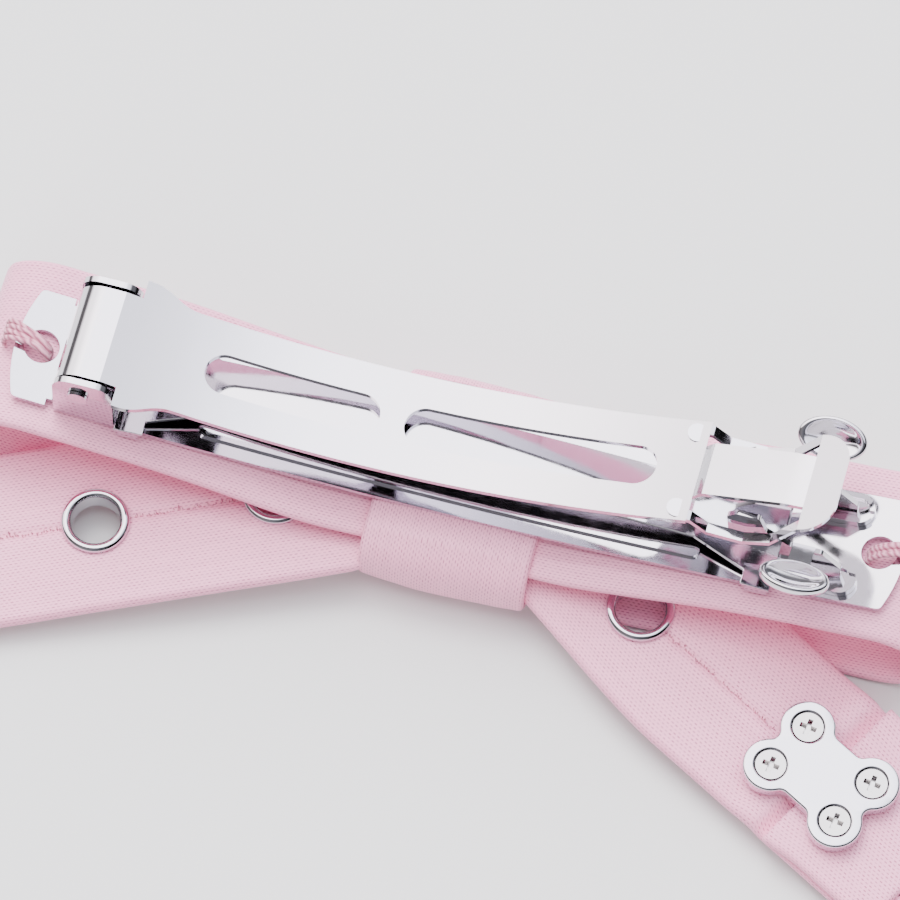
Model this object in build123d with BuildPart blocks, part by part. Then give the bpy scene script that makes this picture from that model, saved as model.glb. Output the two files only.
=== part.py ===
from build123d import *
import math
import os

# A French barrette sewn to the back of a ribbon bow. Millimetres, +Z up. The bow's front
# face lies on Z = 0, X runs along the barrette from its hinge (-X) to its catch (+X), and
# the origin is on the knot's flat front face.

os.makedirs("parts", exist_ok=True)

# ---- driving sizes: barrette ----
BASE_LENGTH = 80.0
BASE_WIDTH = 10.5
BASE_THICKNESS = 0.5
BASE_RISE = 2.6            # how far the base's ends stand above its middle
BASE_END_SAG = 1.0         # how far the convex ends bow outwards
SEWING_HOLE_RADIUS = 1.58
SEWING_HOLE_INSET = 2.3    # from the end of the base to the hole's centre
BASE_CORNER = 0.5
BEAD_INSET = 17.5          # from each end of the base
BEAD_WIDTH = 1.3
BEAD_HEIGHT = 0.4
BEAD_EDGE = 1.85           # from the base's edge to the bead's middle
EAR_LENGTH = 5.4
EAR_REACH = 2.3            # of the ear behind the hinge axis
EAR_RIM = 2.4              # of the ear above the hinge axis
EAR_CORNER = 1.7
EAR_THICKNESS = 0.55
EAR_NOTCH = (0.8, 1.3)     # beside each ear, along and across
CATCH_NOTCH = (2.4, 1.2)   # under each lug at the catch end
CATCH_NOTCH_INSET = 9.7
HINGE_INSET = 7.1          # from the end of the base to the hinge axis
HINGE_HEIGHT = 4.0         # of the hinge axis above the base
PIN_RADIUS = 0.65
PIN_CLEARANCE = 0.05
PIN_HEAD_RADIUS = 0.95
PIN_HEAD_THICKNESS = 0.3

ARM_THICKNESS = 0.6
ARM_MARGIN = 0.45          # from the arm's edge to the base's edge
ARM_SHOULDER_REACH = 0.9   # of the shoulders past the base's edge
ARM_SHOULDER_LENGTH = 0.4
ARM_SHOULDER_TAPER = 4.7
ARM_LOW_LIFT = 0.9         # of the arm's lowest top above the hinge's height
ARM_BEND_RISE = 3.16       # of the arm's top at the bend above its lowest
ARM_BEND_REACH = 1.8       # from the hinge axis to the bend
ARM_NECK_LENGTH = 1.5      # from the bend to the shoulders
ARM_HOOD_RADIUS = 2.35
ARM_HOOD_END = 185.0       # where the hood stops, in degrees round the hinge
ARM_CHEEK_THICKNESS = 0.6
ARM_EAR_GAP = 0.3
ARM_CHEEK_ANGLE = 20.0      # where the cheek meets the arm, round the hinge
ARM_CHEEK_RIM = 0.3        # from the cheek's edge to the hood's
ARM_STEP_INSET = 18.6      # from the catch end of the base
ARM_REAR_SLOT = 15.7
ARM_REAR_SLOT_REACH = 17.9     # from the hinge axis to its middle
ARM_FRONT_SLOT = 22.5
ARM_FRONT_SLOT_INSET = 15.05   # from the step to its middle
ARM_SLOT_WIDTH = 3.7
DIMPLE_RADIUS = 0.85
DIMPLE_HEIGHT = 0.12
DIMPLE_PLACE = (1.1, 3.65)     # in from the step, and from the centreline
BRIDGE_WIDTH = 4.9
BRIDGE_RISE = 0.8
BRIDGE_SLOPE = 0.9         # how much less it rises at its far end
BRIDGE_RISER = 0.8
BRIDGE_INSET = 10.7
RAIL_INNER = 3.7
RAIL_OUTER = 4.6
RAIL_DIP = 3.9
RAIL_LEDGE = 0.2
RAIL_SLOPE = 1.8           # of the rails' first slope, along
RAIL_SHARE = 0.62          # of the dip that the first slope takes
RAIL_LOW_INSETS = (13.6, 11.2)
TIP_START_INSET = 8.9
TIP_END_INSET = 6.0
TIP_DROP = 0.8
TIP_CORNER = 2.7
JOIN = 0.3                 # how far two stretches of one strip run into each other

BAR_THICKNESS = 0.45
BAR_WIDTH = 5.5
BAR_END_MARGIN = 0.65      # from the edge of the bar's ends to the base's edge
BAR_LUG_REACH = 0.6        # how far the lugs stand out past the base's edge
BAR_LUG_LENGTH = 2.6
BAR_END_LENGTH = 2.4
BAR_TAPER = 7.5            # from the bar's end to its narrow part
BAR_LEFT_INSET = 10.4
BAR_RIGHT_INSET = 10.7
BAR_CROWN = 3.3            # of the bar's top above the middle of the base
BAR_SEAT_GAP = 0.1
LUG_INSET = 0.2

WING_THICKNESS = 0.45
WING_OFFSET = 2.85         # inner face of each wing's wall, from the centreline
WING_FOOT_WIDTH = 2.8
WING_FOOT_LENGTH = 6.4
WING_FOOT_INSET = 3.5
WING_FOOT_SHIFT = 0.35     # of the foot outwards from the wing's wall
WING_FOOT_RIM = 0.45
WING_FOOT_RIM_HEIGHT = 0.35
WING_BACK = 2.8            # of the wall behind the foot's middle
WING_FRONT = 1.7
WING_CORNER = 0.4
# the wing's outline above its straight foot: in from the base's end, and up
WING_OUTLINE = (
    (13.6, 2.4), (15.1, 4.6), (15.3, 7.4), (14.4, 8.3), (12.4, 8.3), (11.8, 6.0),
    (9.6, 4.2), (6.8, 4.2),
)
WING_SHOULDERS = (1.0, 2.0)    # where the outline leaves the foot, back and front
NECK_LENGTH = 2.0
NECK_LOW = 3.2             # of the neck above the foot of the wing
NECK_RISES = (3.75, 4.3)   # where its outer and inner faces turn outwards
NECK_REACH = 1.2           # of the neck's end in from the pad's middle
LIP_PLACE = (13.4, 7.6)    # in from the base's end, and up
LIP_SIZE = (1.6, 0.8)
WING_GAP = 0.05            # round the flex line and beside the rails
WING_LIP = 0.1
PAD_LENGTH = 5.8
PAD_WIDTH = 3.5
PAD_OFFSET = 6.8
PAD_LIFT = 2.7             # of the pad's centre above the hinge's height
PAD_TILT = 25.0
PAD_INSET = 8.4
PAD_THICKNESS = 0.6
PAD_RIM = 0.4
PAD_DISH = 0.25            # depth of the hollow in the pad's top

# ---- driving sizes: bow ----
RIBBON_WIDTH = 15.8
RIBBON_THICKNESS = 1.1     # one flattened tube of ribbon in the loops
LOOP_OVERHANG = 1.4        # of the loops' inside past the base's ends
LOOP_SPREAD = 9.0          # beyond the knot, where the loops come to the bow's front
LOOP_CORNER = 4.4
LOOP_LOW_CORNER = 1.9      # inside the loop
LOOP_START = 0.5           # of straight loop beside the knot
LOOP_LIFT = 0.02           # of the loops' front above the knot's
LOOP_KNEE = 4.0
LOOP_BEND = 12.0
WRAP_INNER_CORNER = 0.2
WRAP_THICKNESS = 1.0
WRAP_LEFT_X = -6.5
WRAP_RIGHT_X = 8.5
WRAP_NEAR_Y = -10.5
WRAP_FAR_Y = 9.0
WRAP_CORNER = 2.6
LAYER_GAP = 0.1
TAIL_WIDTH = 16.2
TAIL_THICKNESS = 1.4
LEFT_TAIL_ANGLE = 23.5
RIGHT_TAIL_ANGLE = 28.0
LEFT_TAIL_LENGTH = 57.0
RIGHT_TAIL_LENGTH = 54.5
TAIL_ROOT_Y = 1.0
RIGHT_TAIL_RAISE = 1.0     # of the right tail's root towards the far side
TAIL_ROOT_LIFT = 2.9       # of the tails' root above the front ribbon's thickness
FOLD_THICKNESS = 0.6
SEAM_WIDTH = 0.5
SEAM_HEIGHT = 0.15
SEAM_START = 11.0
TAIL_INSIDE = 10.0         # of ribbon run past the root before it is trimmed
FOLD_MARGIN = 0.3
EYELET_HOLE_RADIUS = 2.2
EYELET_OUTER_RADIUS = 3.05
EYELET_WALL = 0.3
EYELET_ROLL = 0.5
EYELET_ROLL_SHARE = 0.4    # of the roll that the hole's edge keeps
LEFT_EYELETS = {"inner": 16.3, "middle": 32.3, "outer": 48.3}
RIGHT_EYELET = 20.9
PLATE_THICKNESS = 1.2
PLATE_DROP = 1.1           # of the front plate below the top of the front ribbon
PLATE_PLACE = 42.9         # along the right tail
PLATE_ACROSS = -0.9        # from the middle of the tail, towards the near side
PLATE_LOBE_RADIUS = 2.45
PLATE_SCREW_ALONG = 3.75
PLATE_SCREW_ACROSS = 2.4
PLATE_LENGTH = 10.0        # between the end valleys
PLATE_WAIST = 6.8
PLATE_BLEND = 0.8
PLATE_EDGE = 0.25
PLATE_TILT = 0.06          # how much the tail's slope may lower the plate's far lobe
SCREW_HEAD_RADIUS = 1.35
SCREW_SHANK_RADIUS = 0.6
SCREW_SINK = 0.1
SCREW_CLEARANCE = 0.06
SCREW_SLOT = 0.42
SCREW_SLOT_LENGTH = 1.5
SCREW_SLOT_DEPTH = 0.7
SCREW_TURN = 20.0
SCREW_DEPTH = 0.7          # of the front plate's thickness that the shank fills
SCREW_HOLE_DEPTH = 0.75
THREAD_WIDTH = 1.6
THREAD_THICKNESS = 0.5
THREAD_INSIDE = 0.6        # of the threads past the middle of the sewing hole
THREAD_OUTSIDE = 0.25      # of the threads past the end of the base
THREAD_BEND = 0.45
FIT = 0.05

# ---- worked out ----
HALF = BASE_LENGTH / 2
TAIL_ROOT_HEIGHT = TAIL_ROOT_LIFT + RIBBON_THICKNESS
LOOP_BACK_BOTTOM = TAIL_ROOT_HEIGHT + TAIL_THICKNESS + LAYER_GAP
WRAP_TOP = LOOP_BACK_BOTTOM + RIBBON_THICKNESS + LAYER_GAP + WRAP_THICKNESS
BASE_Z = WRAP_TOP + LAYER_GAP
BASE_RADIUS = HALF ** 2 / (2 * BASE_RISE) + BASE_RISE / 2
BASE_TOP = BASE_Z + BASE_THICKNESS
BASE_HALF_WIDTH = BASE_WIDTH / 2
HINGE_X = -HALF + HINGE_INSET
ARM_LOW_X = -HALF / 5      # where the arm's arc is lowest
ARM_BEND_X = HINGE_X + ARM_BEND_REACH
ARM_STEP_X = HALF - ARM_STEP_INSET
BRIDGE_END_X = HALF - BRIDGE_INSET
TIP_START_X = HALF - TIP_START_INSET
TIP_END_X = HALF - TIP_END_INSET
ARM_ARC_RADIUS = ((ARM_LOW_X - ARM_BEND_X) ** 2 + ARM_BEND_RISE ** 2) / (2 * ARM_BEND_RISE)
ARM_LOW_Z = BASE_TOP + HINGE_HEIGHT + ARM_LOW_LIFT
ARM_CENTRE_Z = ARM_LOW_Z + ARM_ARC_RADIUS
WING_FOOT_END_X = HALF - WING_FOOT_INSET
PAD_X = HALF - PAD_INSET
LOOP_END_X = HALF + LOOP_OVERHANG + RIBBON_THICKNESS
loop_low_radius = LOOP_LOW_CORNER + RIBBON_THICKNESS
THROUGH = 60.0             # longer than any cut has to be


def base_bottom(x):
    return BASE_Z + BASE_RADIUS - math.sqrt(BASE_RADIUS ** 2 - x ** 2)


def base_top(x):
    return base_bottom(x) + BASE_THICKNESS


def arm_top(x):
    return ARM_CENTRE_Z - math.sqrt(ARM_ARC_RADIUS ** 2 - (x - ARM_LOW_X) ** 2)


HINGE_Z = base_top(HINGE_X) + HINGE_HEIGHT


def side(y):
    """A plane seen from the near side, with world X and Z in it, at this Y."""
    return Plane(origin=(0, y, 0), x_dir=(1, 0, 0), z_dir=(0, -1, 0))


def arc_band(x0, x1, centre_x, centre_z, radius, below, above):
    """The strip between two concentric arcs from x0 to x1, for a sketch in a side plane."""
    def at(x, r):
        return (x, centre_z - math.sqrt(r ** 2 - (x - centre_x) ** 2))
    middle = (x0 + x1) / 2
    outer = radius + below
    inner = radius - above
    with BuildSketch() as band:
        with BuildLine():
            ThreePointArc(at(x0, outer), at(middle, outer), at(x1, outer))
            Line(at(x1, outer), at(x1, inner))
            ThreePointArc(at(x1, inner), at(middle, inner), at(x0, inner))
            Line(at(x0, inner), at(x0, outer))
        make_face()
    return band.sketch


def base_band(x0, x1, below, above):
    """A strip that follows the base plate's lower face."""
    return arc_band(x0, x1, 0, BASE_Z + BASE_RADIUS, BASE_RADIUS, below, above)


# ---- base plate ----
ear_left_x = HINGE_X - EAR_REACH
ear_right_x = ear_left_x + EAR_LENGTH
hole_x = HALF - SEWING_HOLE_INSET
bead_half = HALF - BEAD_INSET
bead_y = BASE_HALF_WIDTH - BEAD_EDGE
with BuildPart() as base_beads:
    with BuildSketch(side(BASE_WIDTH)):
        add(base_band(-bead_half, bead_half, -FIT, BASE_THICKNESS + BEAD_HEIGHT))
    extrude(amount=2 * BASE_WIDTH)
    with BuildSketch(Plane.XY.offset(BASE_Z - 1)):
        with Locations((0, -bead_y), (0, bead_y)):
            SlotOverall(2 * bead_half, BEAD_WIDTH)
    extrude(amount=THROUGH, mode=Mode.INTERSECT)
with BuildPart() as base_plate:
    with BuildSketch(side(BASE_WIDTH)):
        add(base_band(-HALF, HALF, 0, BASE_THICKNESS))
    extrude(amount=2 * BASE_WIDTH)
    with BuildSketch(Plane.XY.offset(BASE_Z - 1)):
        with BuildLine():
            shoulder = HALF - BASE_END_SAG
            Line((-shoulder, -BASE_HALF_WIDTH), (shoulder, -BASE_HALF_WIDTH))
            ThreePointArc(
                (shoulder, -BASE_HALF_WIDTH), (HALF, 0), (shoulder, BASE_HALF_WIDTH)
            )
            Line((shoulder, BASE_HALF_WIDTH), (-shoulder, BASE_HALF_WIDTH))
            ThreePointArc(
                (-shoulder, BASE_HALF_WIDTH), (-HALF, 0), (-shoulder, -BASE_HALF_WIDTH)
            )
        make_face()
        fillet(vertices(), BASE_CORNER)
        with Locations((-hole_x, 0), (hole_x, 0)):
            Circle(SEWING_HOLE_RADIUS, mode=Mode.SUBTRACT)
        for notch_x, notch in (
            (ear_left_x - EAR_NOTCH[0] / 2, EAR_NOTCH), (HALF - CATCH_NOTCH_INSET, CATCH_NOTCH)
        ):
            with Locations((notch_x, -BASE_HALF_WIDTH), (notch_x, BASE_HALF_WIDTH)):
                Rectangle(*notch, mode=Mode.SUBTRACT)
    extrude(amount=THROUGH, mode=Mode.INTERSECT)
    add(base_beads.part)
    for ear_y in (-BASE_HALF_WIDTH + EAR_THICKNESS, BASE_HALF_WIDTH):
        with BuildSketch(side(ear_y)):
            with BuildLine():
                foot_left = (ear_left_x, base_bottom(ear_left_x) + FIT)
                foot_right = (ear_right_x, base_bottom(ear_right_x) + FIT)
                ear_top = HINGE_Z + EAR_RIM
                FilletPolyline(
                    foot_left, (ear_left_x, ear_top), (ear_right_x, ear_top), foot_right,
                    radius=EAR_CORNER,
                )
                Line(foot_right, foot_left)
            make_face()
        extrude(amount=EAR_THICKNESS)
    with BuildSketch(side(BASE_WIDTH)):
        with Locations((HINGE_X, HINGE_Z)):
            Circle(PIN_RADIUS + PIN_CLEARANCE)
    extrude(amount=2 * BASE_WIDTH, mode=Mode.SUBTRACT)

# ---- hinge pin ----
with BuildPart() as hinge_pin:
    with BuildSketch(side(BASE_HALF_WIDTH + FIT)):
        with Locations((HINGE_X, HINGE_Z)):
            Circle(PIN_RADIUS)
    extrude(amount=BASE_WIDTH + 2 * FIT)
    for head_y in (BASE_HALF_WIDTH + FIT + PIN_HEAD_THICKNESS, -BASE_HALF_WIDTH - FIT):
        with BuildSketch(side(head_y)):
            with Locations((HINGE_X, HINGE_Z)):
                Circle(PIN_HEAD_RADIUS)
        extrude(amount=PIN_HEAD_THICKNESS)

# ---- clamp arm ----
bend_z = arm_top(ARM_BEND_X)
reach = math.hypot(ARM_BEND_X - HINGE_X, bend_z - HINGE_Z)
bend_angle = math.degrees(math.atan2(bend_z - HINGE_Z, ARM_BEND_X - HINGE_X))
hood_angle = bend_angle + math.degrees(math.acos(ARM_HOOD_RADIUS / reach))


def round_hinge(angle, radius):
    return (
        HINGE_X + radius * math.cos(math.radians(angle)),
        HINGE_Z + radius * math.sin(math.radians(angle)),
    )


hood_inner = ARM_HOOD_RADIUS - ARM_THICKNESS
neck_half = BASE_HALF_WIDTH - EAR_THICKNESS - ARM_EAR_GAP
arm_half = BASE_HALF_WIDTH - ARM_MARGIN
shoulder_half = BASE_HALF_WIDTH + ARM_SHOULDER_REACH
shoulder_x = ARM_BEND_X + ARM_NECK_LENGTH
taper_x = shoulder_x + ARM_SHOULDER_LENGTH
arm_x = taper_x + ARM_SHOULDER_TAPER
taper_middle = ((taper_x + arm_x) / 2, (arm_half + shoulder_half) / 2)
step_z = arm_top(ARM_STEP_X)


def sloped_strip(points):
    """A strip of the arm's sheet whose top runs through these points of a side plane."""
    low = [(x, z - ARM_THICKNESS) for x, z in reversed(points)]
    with BuildSketch() as strip:
        with BuildLine():
            Polyline(*points, *low, close=True)
        make_face()
    return strip.sketch


tip_top = [(x, arm_top(x) - TIP_DROP) for x in (TIP_START_X, TIP_START_X + JOIN, TIP_END_X)]
# the tip plate that joins the arm's bridge and rails
with BuildPart() as tip_plate:
    with BuildSketch(side(RAIL_OUTER)):
        add(sloped_strip([tip_top[0], tip_top[2]]))
    extrude(amount=2 * RAIL_OUTER)
    with BuildSketch(Plane.XY.offset(BASE_Z)):
        with BuildLine():
            Polyline(
                (TIP_START_X - JOIN, -RAIL_OUTER), (TIP_END_X, -RAIL_OUTER),
                (TIP_END_X, RAIL_OUTER), (TIP_START_X - JOIN, RAIL_OUTER), close=True,
            )
        make_face()
        fillet(vertices().group_by(Axis.X)[-1], TIP_CORNER)
    extrude(amount=THROUGH, mode=Mode.INTERSECT)

with BuildPart() as clamp_arm:
    with BuildSketch(side(shoulder_half)):
        add(arc_band(ARM_BEND_X, ARM_STEP_X, ARM_LOW_X, ARM_CENTRE_Z, ARM_ARC_RADIUS,
                     ARM_THICKNESS, 0))
    extrude(amount=2 * shoulder_half)
    with BuildSketch(Plane.XY.offset(BASE_Z)):
        with BuildLine():
            Polyline(
                (arm_x, -arm_half), (ARM_STEP_X, -arm_half), (ARM_STEP_X, arm_half),
                (arm_x, arm_half),
            )
            Spline(
                (arm_x, arm_half), taper_middle, (taper_x, shoulder_half),
                tangents=((-1, 0), (-1, 0)),
            )
            Polyline(
                (taper_x, shoulder_half), (shoulder_x, shoulder_half), (shoulder_x, neck_half),
                (ARM_BEND_X, neck_half), (ARM_BEND_X, -neck_half), (shoulder_x, -neck_half),
                (shoulder_x, -shoulder_half), (taper_x, -shoulder_half),
            )
            Spline(
                (taper_x, -shoulder_half), (taper_middle[0], -taper_middle[1]),
                (arm_x, -arm_half), tangents=((1, 0), (1, 0)),
            )
        make_face()
        with Locations((HINGE_X + ARM_REAR_SLOT_REACH, 0)):
            SlotOverall(ARM_REAR_SLOT, ARM_SLOT_WIDTH, mode=Mode.SUBTRACT)
        with Locations((ARM_STEP_X - ARM_FRONT_SLOT_INSET, 0)):
            SlotOverall(ARM_FRONT_SLOT, ARM_SLOT_WIDTH, mode=Mode.SUBTRACT)
    extrude(amount=THROUGH, mode=Mode.INTERSECT)
    with BuildSketch(side(neck_half)):
        with BuildLine():
            top_start = round_hinge(hood_angle, ARM_HOOD_RADIUS)
            low_start = round_hinge(hood_angle, hood_inner)
            bend_low = (ARM_BEND_X + JOIN, arm_top(ARM_BEND_X + JOIN) - ARM_THICKNESS)
            bend_top = (ARM_BEND_X + FIT, arm_top(ARM_BEND_X + FIT))
            mid_angle = (hood_angle + ARM_HOOD_END) / 2
            Line(bend_low, bend_top)
            Line(bend_top, top_start)
            ThreePointArc(
                top_start, round_hinge(mid_angle, ARM_HOOD_RADIUS),
                round_hinge(ARM_HOOD_END, ARM_HOOD_RADIUS),
            )
            Line(
                round_hinge(ARM_HOOD_END, ARM_HOOD_RADIUS),
                round_hinge(ARM_HOOD_END, hood_inner),
            )
            ThreePointArc(
                round_hinge(ARM_HOOD_END, hood_inner), round_hinge(mid_angle, hood_inner),
                low_start,
            )
            Line(low_start, bend_low)
        make_face()
    extrude(amount=2 * neck_half)
    for cheek_y in (-neck_half + ARM_CHEEK_THICKNESS, neck_half):
        with BuildSketch(side(cheek_y)):
            with Locations((HINGE_X, HINGE_Z)):
                Circle(ARM_HOOD_RADIUS - ARM_CHEEK_RIM)
            with BuildLine():
                Polyline(
                    (HINGE_X, HINGE_Z), low_start, bend_low,
                    round_hinge(ARM_CHEEK_ANGLE, ARM_HOOD_RADIUS - ARM_CHEEK_RIM), close=True,
                )
            make_face()
        extrude(amount=ARM_CHEEK_THICKNESS)
    with BuildSketch(side(neck_half)):
        with Locations((HINGE_X, HINGE_Z)):
            Circle(PIN_RADIUS + PIN_CLEARANCE)
    extrude(amount=2 * neck_half, mode=Mode.SUBTRACT)
    # the bridge that stands over the catch
    step_start = (ARM_STEP_X - JOIN, arm_top(ARM_STEP_X - JOIN))
    bridge_x = ARM_STEP_X + BRIDGE_RISER
    bridge_top = [
        (bridge_x, arm_top(bridge_x) + BRIDGE_RISE),
        (BRIDGE_END_X, arm_top(BRIDGE_END_X) + BRIDGE_RISE - BRIDGE_SLOPE),
    ]
    with BuildSketch(side(BRIDGE_WIDTH / 2)):
        add(sloped_strip([step_start, (ARM_STEP_X, step_z), *bridge_top, *tip_top[:2]]))
    extrude(amount=BRIDGE_WIDTH)
    # the two rails that dip beside it
    rail_x = ARM_STEP_X + RAIL_SLOPE
    rail_low = [(HALF - inset, arm_top(HALF - inset) - RAIL_DIP) for inset in RAIL_LOW_INSETS]
    for rail_y in (RAIL_OUTER, -RAIL_INNER):
        with BuildSketch(side(rail_y)):
            add(sloped_strip([
                step_start, (ARM_STEP_X + JOIN, step_z - RAIL_LEDGE),
                (rail_x, arm_top(rail_x) - RAIL_SHARE * RAIL_DIP), *rail_low, *tip_top[:2],
            ]))
        extrude(amount=RAIL_OUTER - RAIL_INNER)
    # two round dimples that stiffen the arm beside its step
    dimple_x = ARM_STEP_X - DIMPLE_PLACE[0]
    for dimple_y in (-DIMPLE_PLACE[1], DIMPLE_PLACE[1]):
        with Locations((dimple_x, dimple_y, arm_top(dimple_x) - ARM_THICKNESS / 2)):
            Cylinder(
                DIMPLE_RADIUS, ARM_THICKNESS / 2 + DIMPLE_HEIGHT,
                align=(Align.CENTER, Align.CENTER, Align.MIN),
            )
    add(tip_plate.part)

# ---- tension bar ----
bar_left_x = -HALF + BAR_LEFT_INSET
bar_right_x = HALF - BAR_RIGHT_INSET
bar_middle_x = (bar_left_x + bar_right_x) / 2
bar_crown_z = BASE_TOP + BAR_CROWN
bar_seat_left = base_top(bar_left_x) + BAR_SEAT_GAP
bar_seat_right = base_top(bar_right_x) + BAR_SEAT_GAP
lug_half = BASE_HALF_WIDTH + BAR_LUG_REACH
bar_end_half = BASE_HALF_WIDTH - BAR_END_MARGIN
bar_half = BAR_WIDTH / 2
with BuildPart() as tension_bar:
    with BuildSketch(side(lug_half)):
        with BuildLine():
            low_mid = bar_crown_z - BAR_THICKNESS
            ThreePointArc(
                (bar_left_x, bar_seat_left), (bar_middle_x, low_mid),
                (bar_right_x, bar_seat_right),
            )
            Line((bar_right_x, bar_seat_right), (bar_right_x, bar_seat_right + BAR_THICKNESS))
            ThreePointArc(
                (bar_right_x, bar_seat_right + BAR_THICKNESS), (bar_middle_x, bar_crown_z),
                (bar_left_x, bar_seat_left + BAR_THICKNESS),
            )
            Line((bar_left_x, bar_seat_left + BAR_THICKNESS), (bar_left_x, bar_seat_left))
        make_face()
    extrude(amount=2 * lug_half)
    with BuildSketch(Plane.XY.offset(BASE_Z)):
        Rectangle(2 * THROUGH, BAR_WIDTH)
        for end_x, inward in ((bar_left_x, 1), (bar_right_x, -1)):
            with BuildLine():
                waist_x = end_x + inward * BAR_TAPER
                wide_x = end_x + inward * BAR_END_LENGTH
                Polyline(
                    (waist_x, bar_half), (wide_x, bar_end_half),
                    (end_x, bar_end_half), (end_x, -bar_end_half),
                    (wide_x, -bar_end_half), (waist_x, -bar_half), close=True,
                )
            make_face()
            with Locations((end_x + inward * BAR_LUG_LENGTH / 2, 0)):
                Rectangle(BAR_LUG_LENGTH, 2 * lug_half)
    extrude(amount=THROUGH, mode=Mode.INTERSECT)
    # the lugs turn down over the base's edges
    lug_length = BAR_END_LENGTH - 2 * LUG_INSET
    for lug_x, seat_z in (
        (bar_left_x + LUG_INSET, bar_seat_left),
        (bar_right_x - BAR_END_LENGTH + LUG_INSET, bar_seat_right),
    ):
        lug_low = min(base_bottom(lug_x), base_bottom(lug_x + lug_length)) + LAYER_GAP
        lug_top = seat_z + BAR_THICKNESS / 2
        for lug_y in (lug_half, -BASE_HALF_WIDTH - FIT):
            with BuildSketch(side(lug_y)):
                with Locations((lug_x + lug_length / 2, (lug_low + lug_top) / 2)):
                    Rectangle(lug_length, lug_top - lug_low)
            extrude(amount=BAR_LUG_REACH - FIT)

# ---- catch: a foot on the base and a sprung wing on each side ----
foot_middle_x = WING_FOOT_END_X - WING_FOOT_LENGTH / 2
foot_slope = math.asin(foot_middle_x / BASE_RADIUS)
foot_rise = base_top(foot_middle_x) + FIT
foot_axis_y = WING_OFFSET + WING_THICKNESS / 2
foot_direction = (math.cos(foot_slope), 0, math.sin(foot_slope))
foot_normal = (-math.sin(foot_slope), 0, math.cos(foot_slope))


def foot_plane(y, lift):
    """A plane that lies along the base under the catch, this far above it."""
    return Plane(
        origin=(foot_middle_x + lift * foot_normal[0], y, foot_rise + lift * foot_normal[2]),
        x_dir=foot_direction, z_dir=foot_normal,
    )


def catch_foot(sign):
    with BuildPart() as foot:
        with BuildSketch(foot_plane(sign * (foot_axis_y + WING_FOOT_SHIFT), 0)):
            SlotOverall(WING_FOOT_LENGTH, WING_FOOT_WIDTH)
        extrude(amount=WING_THICKNESS)
        with BuildSketch(foot_plane(sign * (foot_axis_y + WING_FOOT_SHIFT), WING_THICKNESS)):
            SlotOverall(WING_FOOT_LENGTH, WING_FOOT_WIDTH)
            SlotOverall(
                WING_FOOT_LENGTH - 2 * WING_FOOT_RIM, WING_FOOT_WIDTH - 2 * WING_FOOT_RIM,
                mode=Mode.SUBTRACT,
            )
        extrude(amount=WING_FOOT_RIM_HEIGHT)
        with BuildSketch(foot_plane(sign * foot_axis_y, WING_THICKNESS)):
            Rectangle(THROUGH, WING_THICKNESS + 4 * WING_GAP)
        extrude(amount=WING_THICKNESS, mode=Mode.SUBTRACT)
    return foot.part


def catch_wing(sign):
    """The wall, the prong that rises beside the rail, the neck and the finger pad."""
    outer_y = WING_OFFSET + WING_THICKNESS if sign > 0 else -WING_OFFSET
    wall_low = foot_rise + (WING_THICKNESS + WING_GAP) / math.cos(foot_slope)
    slope = math.tan(foot_slope)
    left_x = foot_middle_x - WING_BACK
    right_x = foot_middle_x + WING_FRONT
    foot_left = (left_x, wall_low - slope * WING_BACK)
    foot_right = (right_x, wall_low + slope * WING_FRONT)
    tilt = math.radians(PAD_TILT)
    pad_z = base_top(PAD_X) + HINGE_HEIGHT + PAD_LIFT
    pad_in = sign * (PAD_OFFSET - NECK_REACH * math.cos(tilt))
    pad_in_z = pad_z - NECK_REACH * math.sin(tilt)
    inner_y = sign * WING_OFFSET
    neck_y = sign * (WING_OFFSET + WING_THICKNESS)
    neck_low = wall_low + NECK_LOW
    with BuildPart() as wing:
        with BuildSketch(side(outer_y)):
            with BuildLine():
                FilletPolyline(
                    foot_left, (left_x, wall_low + WING_SHOULDERS[0]),
                    *[(HALF - inset, wall_low + up) for inset, up in WING_OUTLINE],
                    (right_x, wall_low + WING_SHOULDERS[1]), foot_right,
                    radius=WING_CORNER,
                )
                Line(foot_right, foot_left)
            make_face()
        extrude(amount=WING_THICKNESS)
        neck_plane = Plane(
            origin=(PAD_X - NECK_LENGTH / 2, 0, 0), x_dir=(0, 1, 0), z_dir=(1, 0, 0)
        )
        with BuildSketch(neck_plane):
            with BuildLine():
                FilletPolyline(
                    (inner_y, neck_low),
                    (inner_y, wall_low + NECK_RISES[1]),
                    (pad_in, pad_in_z + PAD_THICKNESS / 2),
                    (pad_in, pad_in_z - PAD_THICKNESS / 3),
                    (neck_y, wall_low + NECK_RISES[0]),
                    (neck_y, neck_low),
                    radius=2 * FIT,
                )
                Line((neck_y, neck_low), (inner_y, neck_low))
            make_face()
        extrude(amount=NECK_LENGTH)
        pad_plane = Plane(
            origin=(PAD_X, sign * PAD_OFFSET, pad_z), x_dir=(1, 0, 0),
            z_dir=(0, -sign * math.sin(tilt), math.cos(tilt)),
        )
        with BuildSketch(pad_plane.offset(-PAD_THICKNESS / 2)):
            Ellipse(PAD_LENGTH / 2, PAD_WIDTH / 2)
        extrude(amount=PAD_THICKNESS)
        with BuildSketch(pad_plane.offset(PAD_THICKNESS / 2 - PAD_DISH)):
            Ellipse(PAD_LENGTH / 2 - PAD_RIM, PAD_WIDTH / 2 - PAD_RIM)
        extrude(amount=PAD_THICKNESS, mode=Mode.SUBTRACT)
        # the lip stops just short of the rail
        lip_y = WING_OFFSET + WING_THICKNESS + WING_LIP if sign > 0 else -WING_OFFSET
        with BuildSketch(side(lip_y)):
            with Locations((HALF - LIP_PLACE[0], wall_low + LIP_PLACE[1])):
                Rectangle(*LIP_SIZE)
        extrude(amount=WING_THICKNESS + WING_LIP)
    return wing.part


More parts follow.
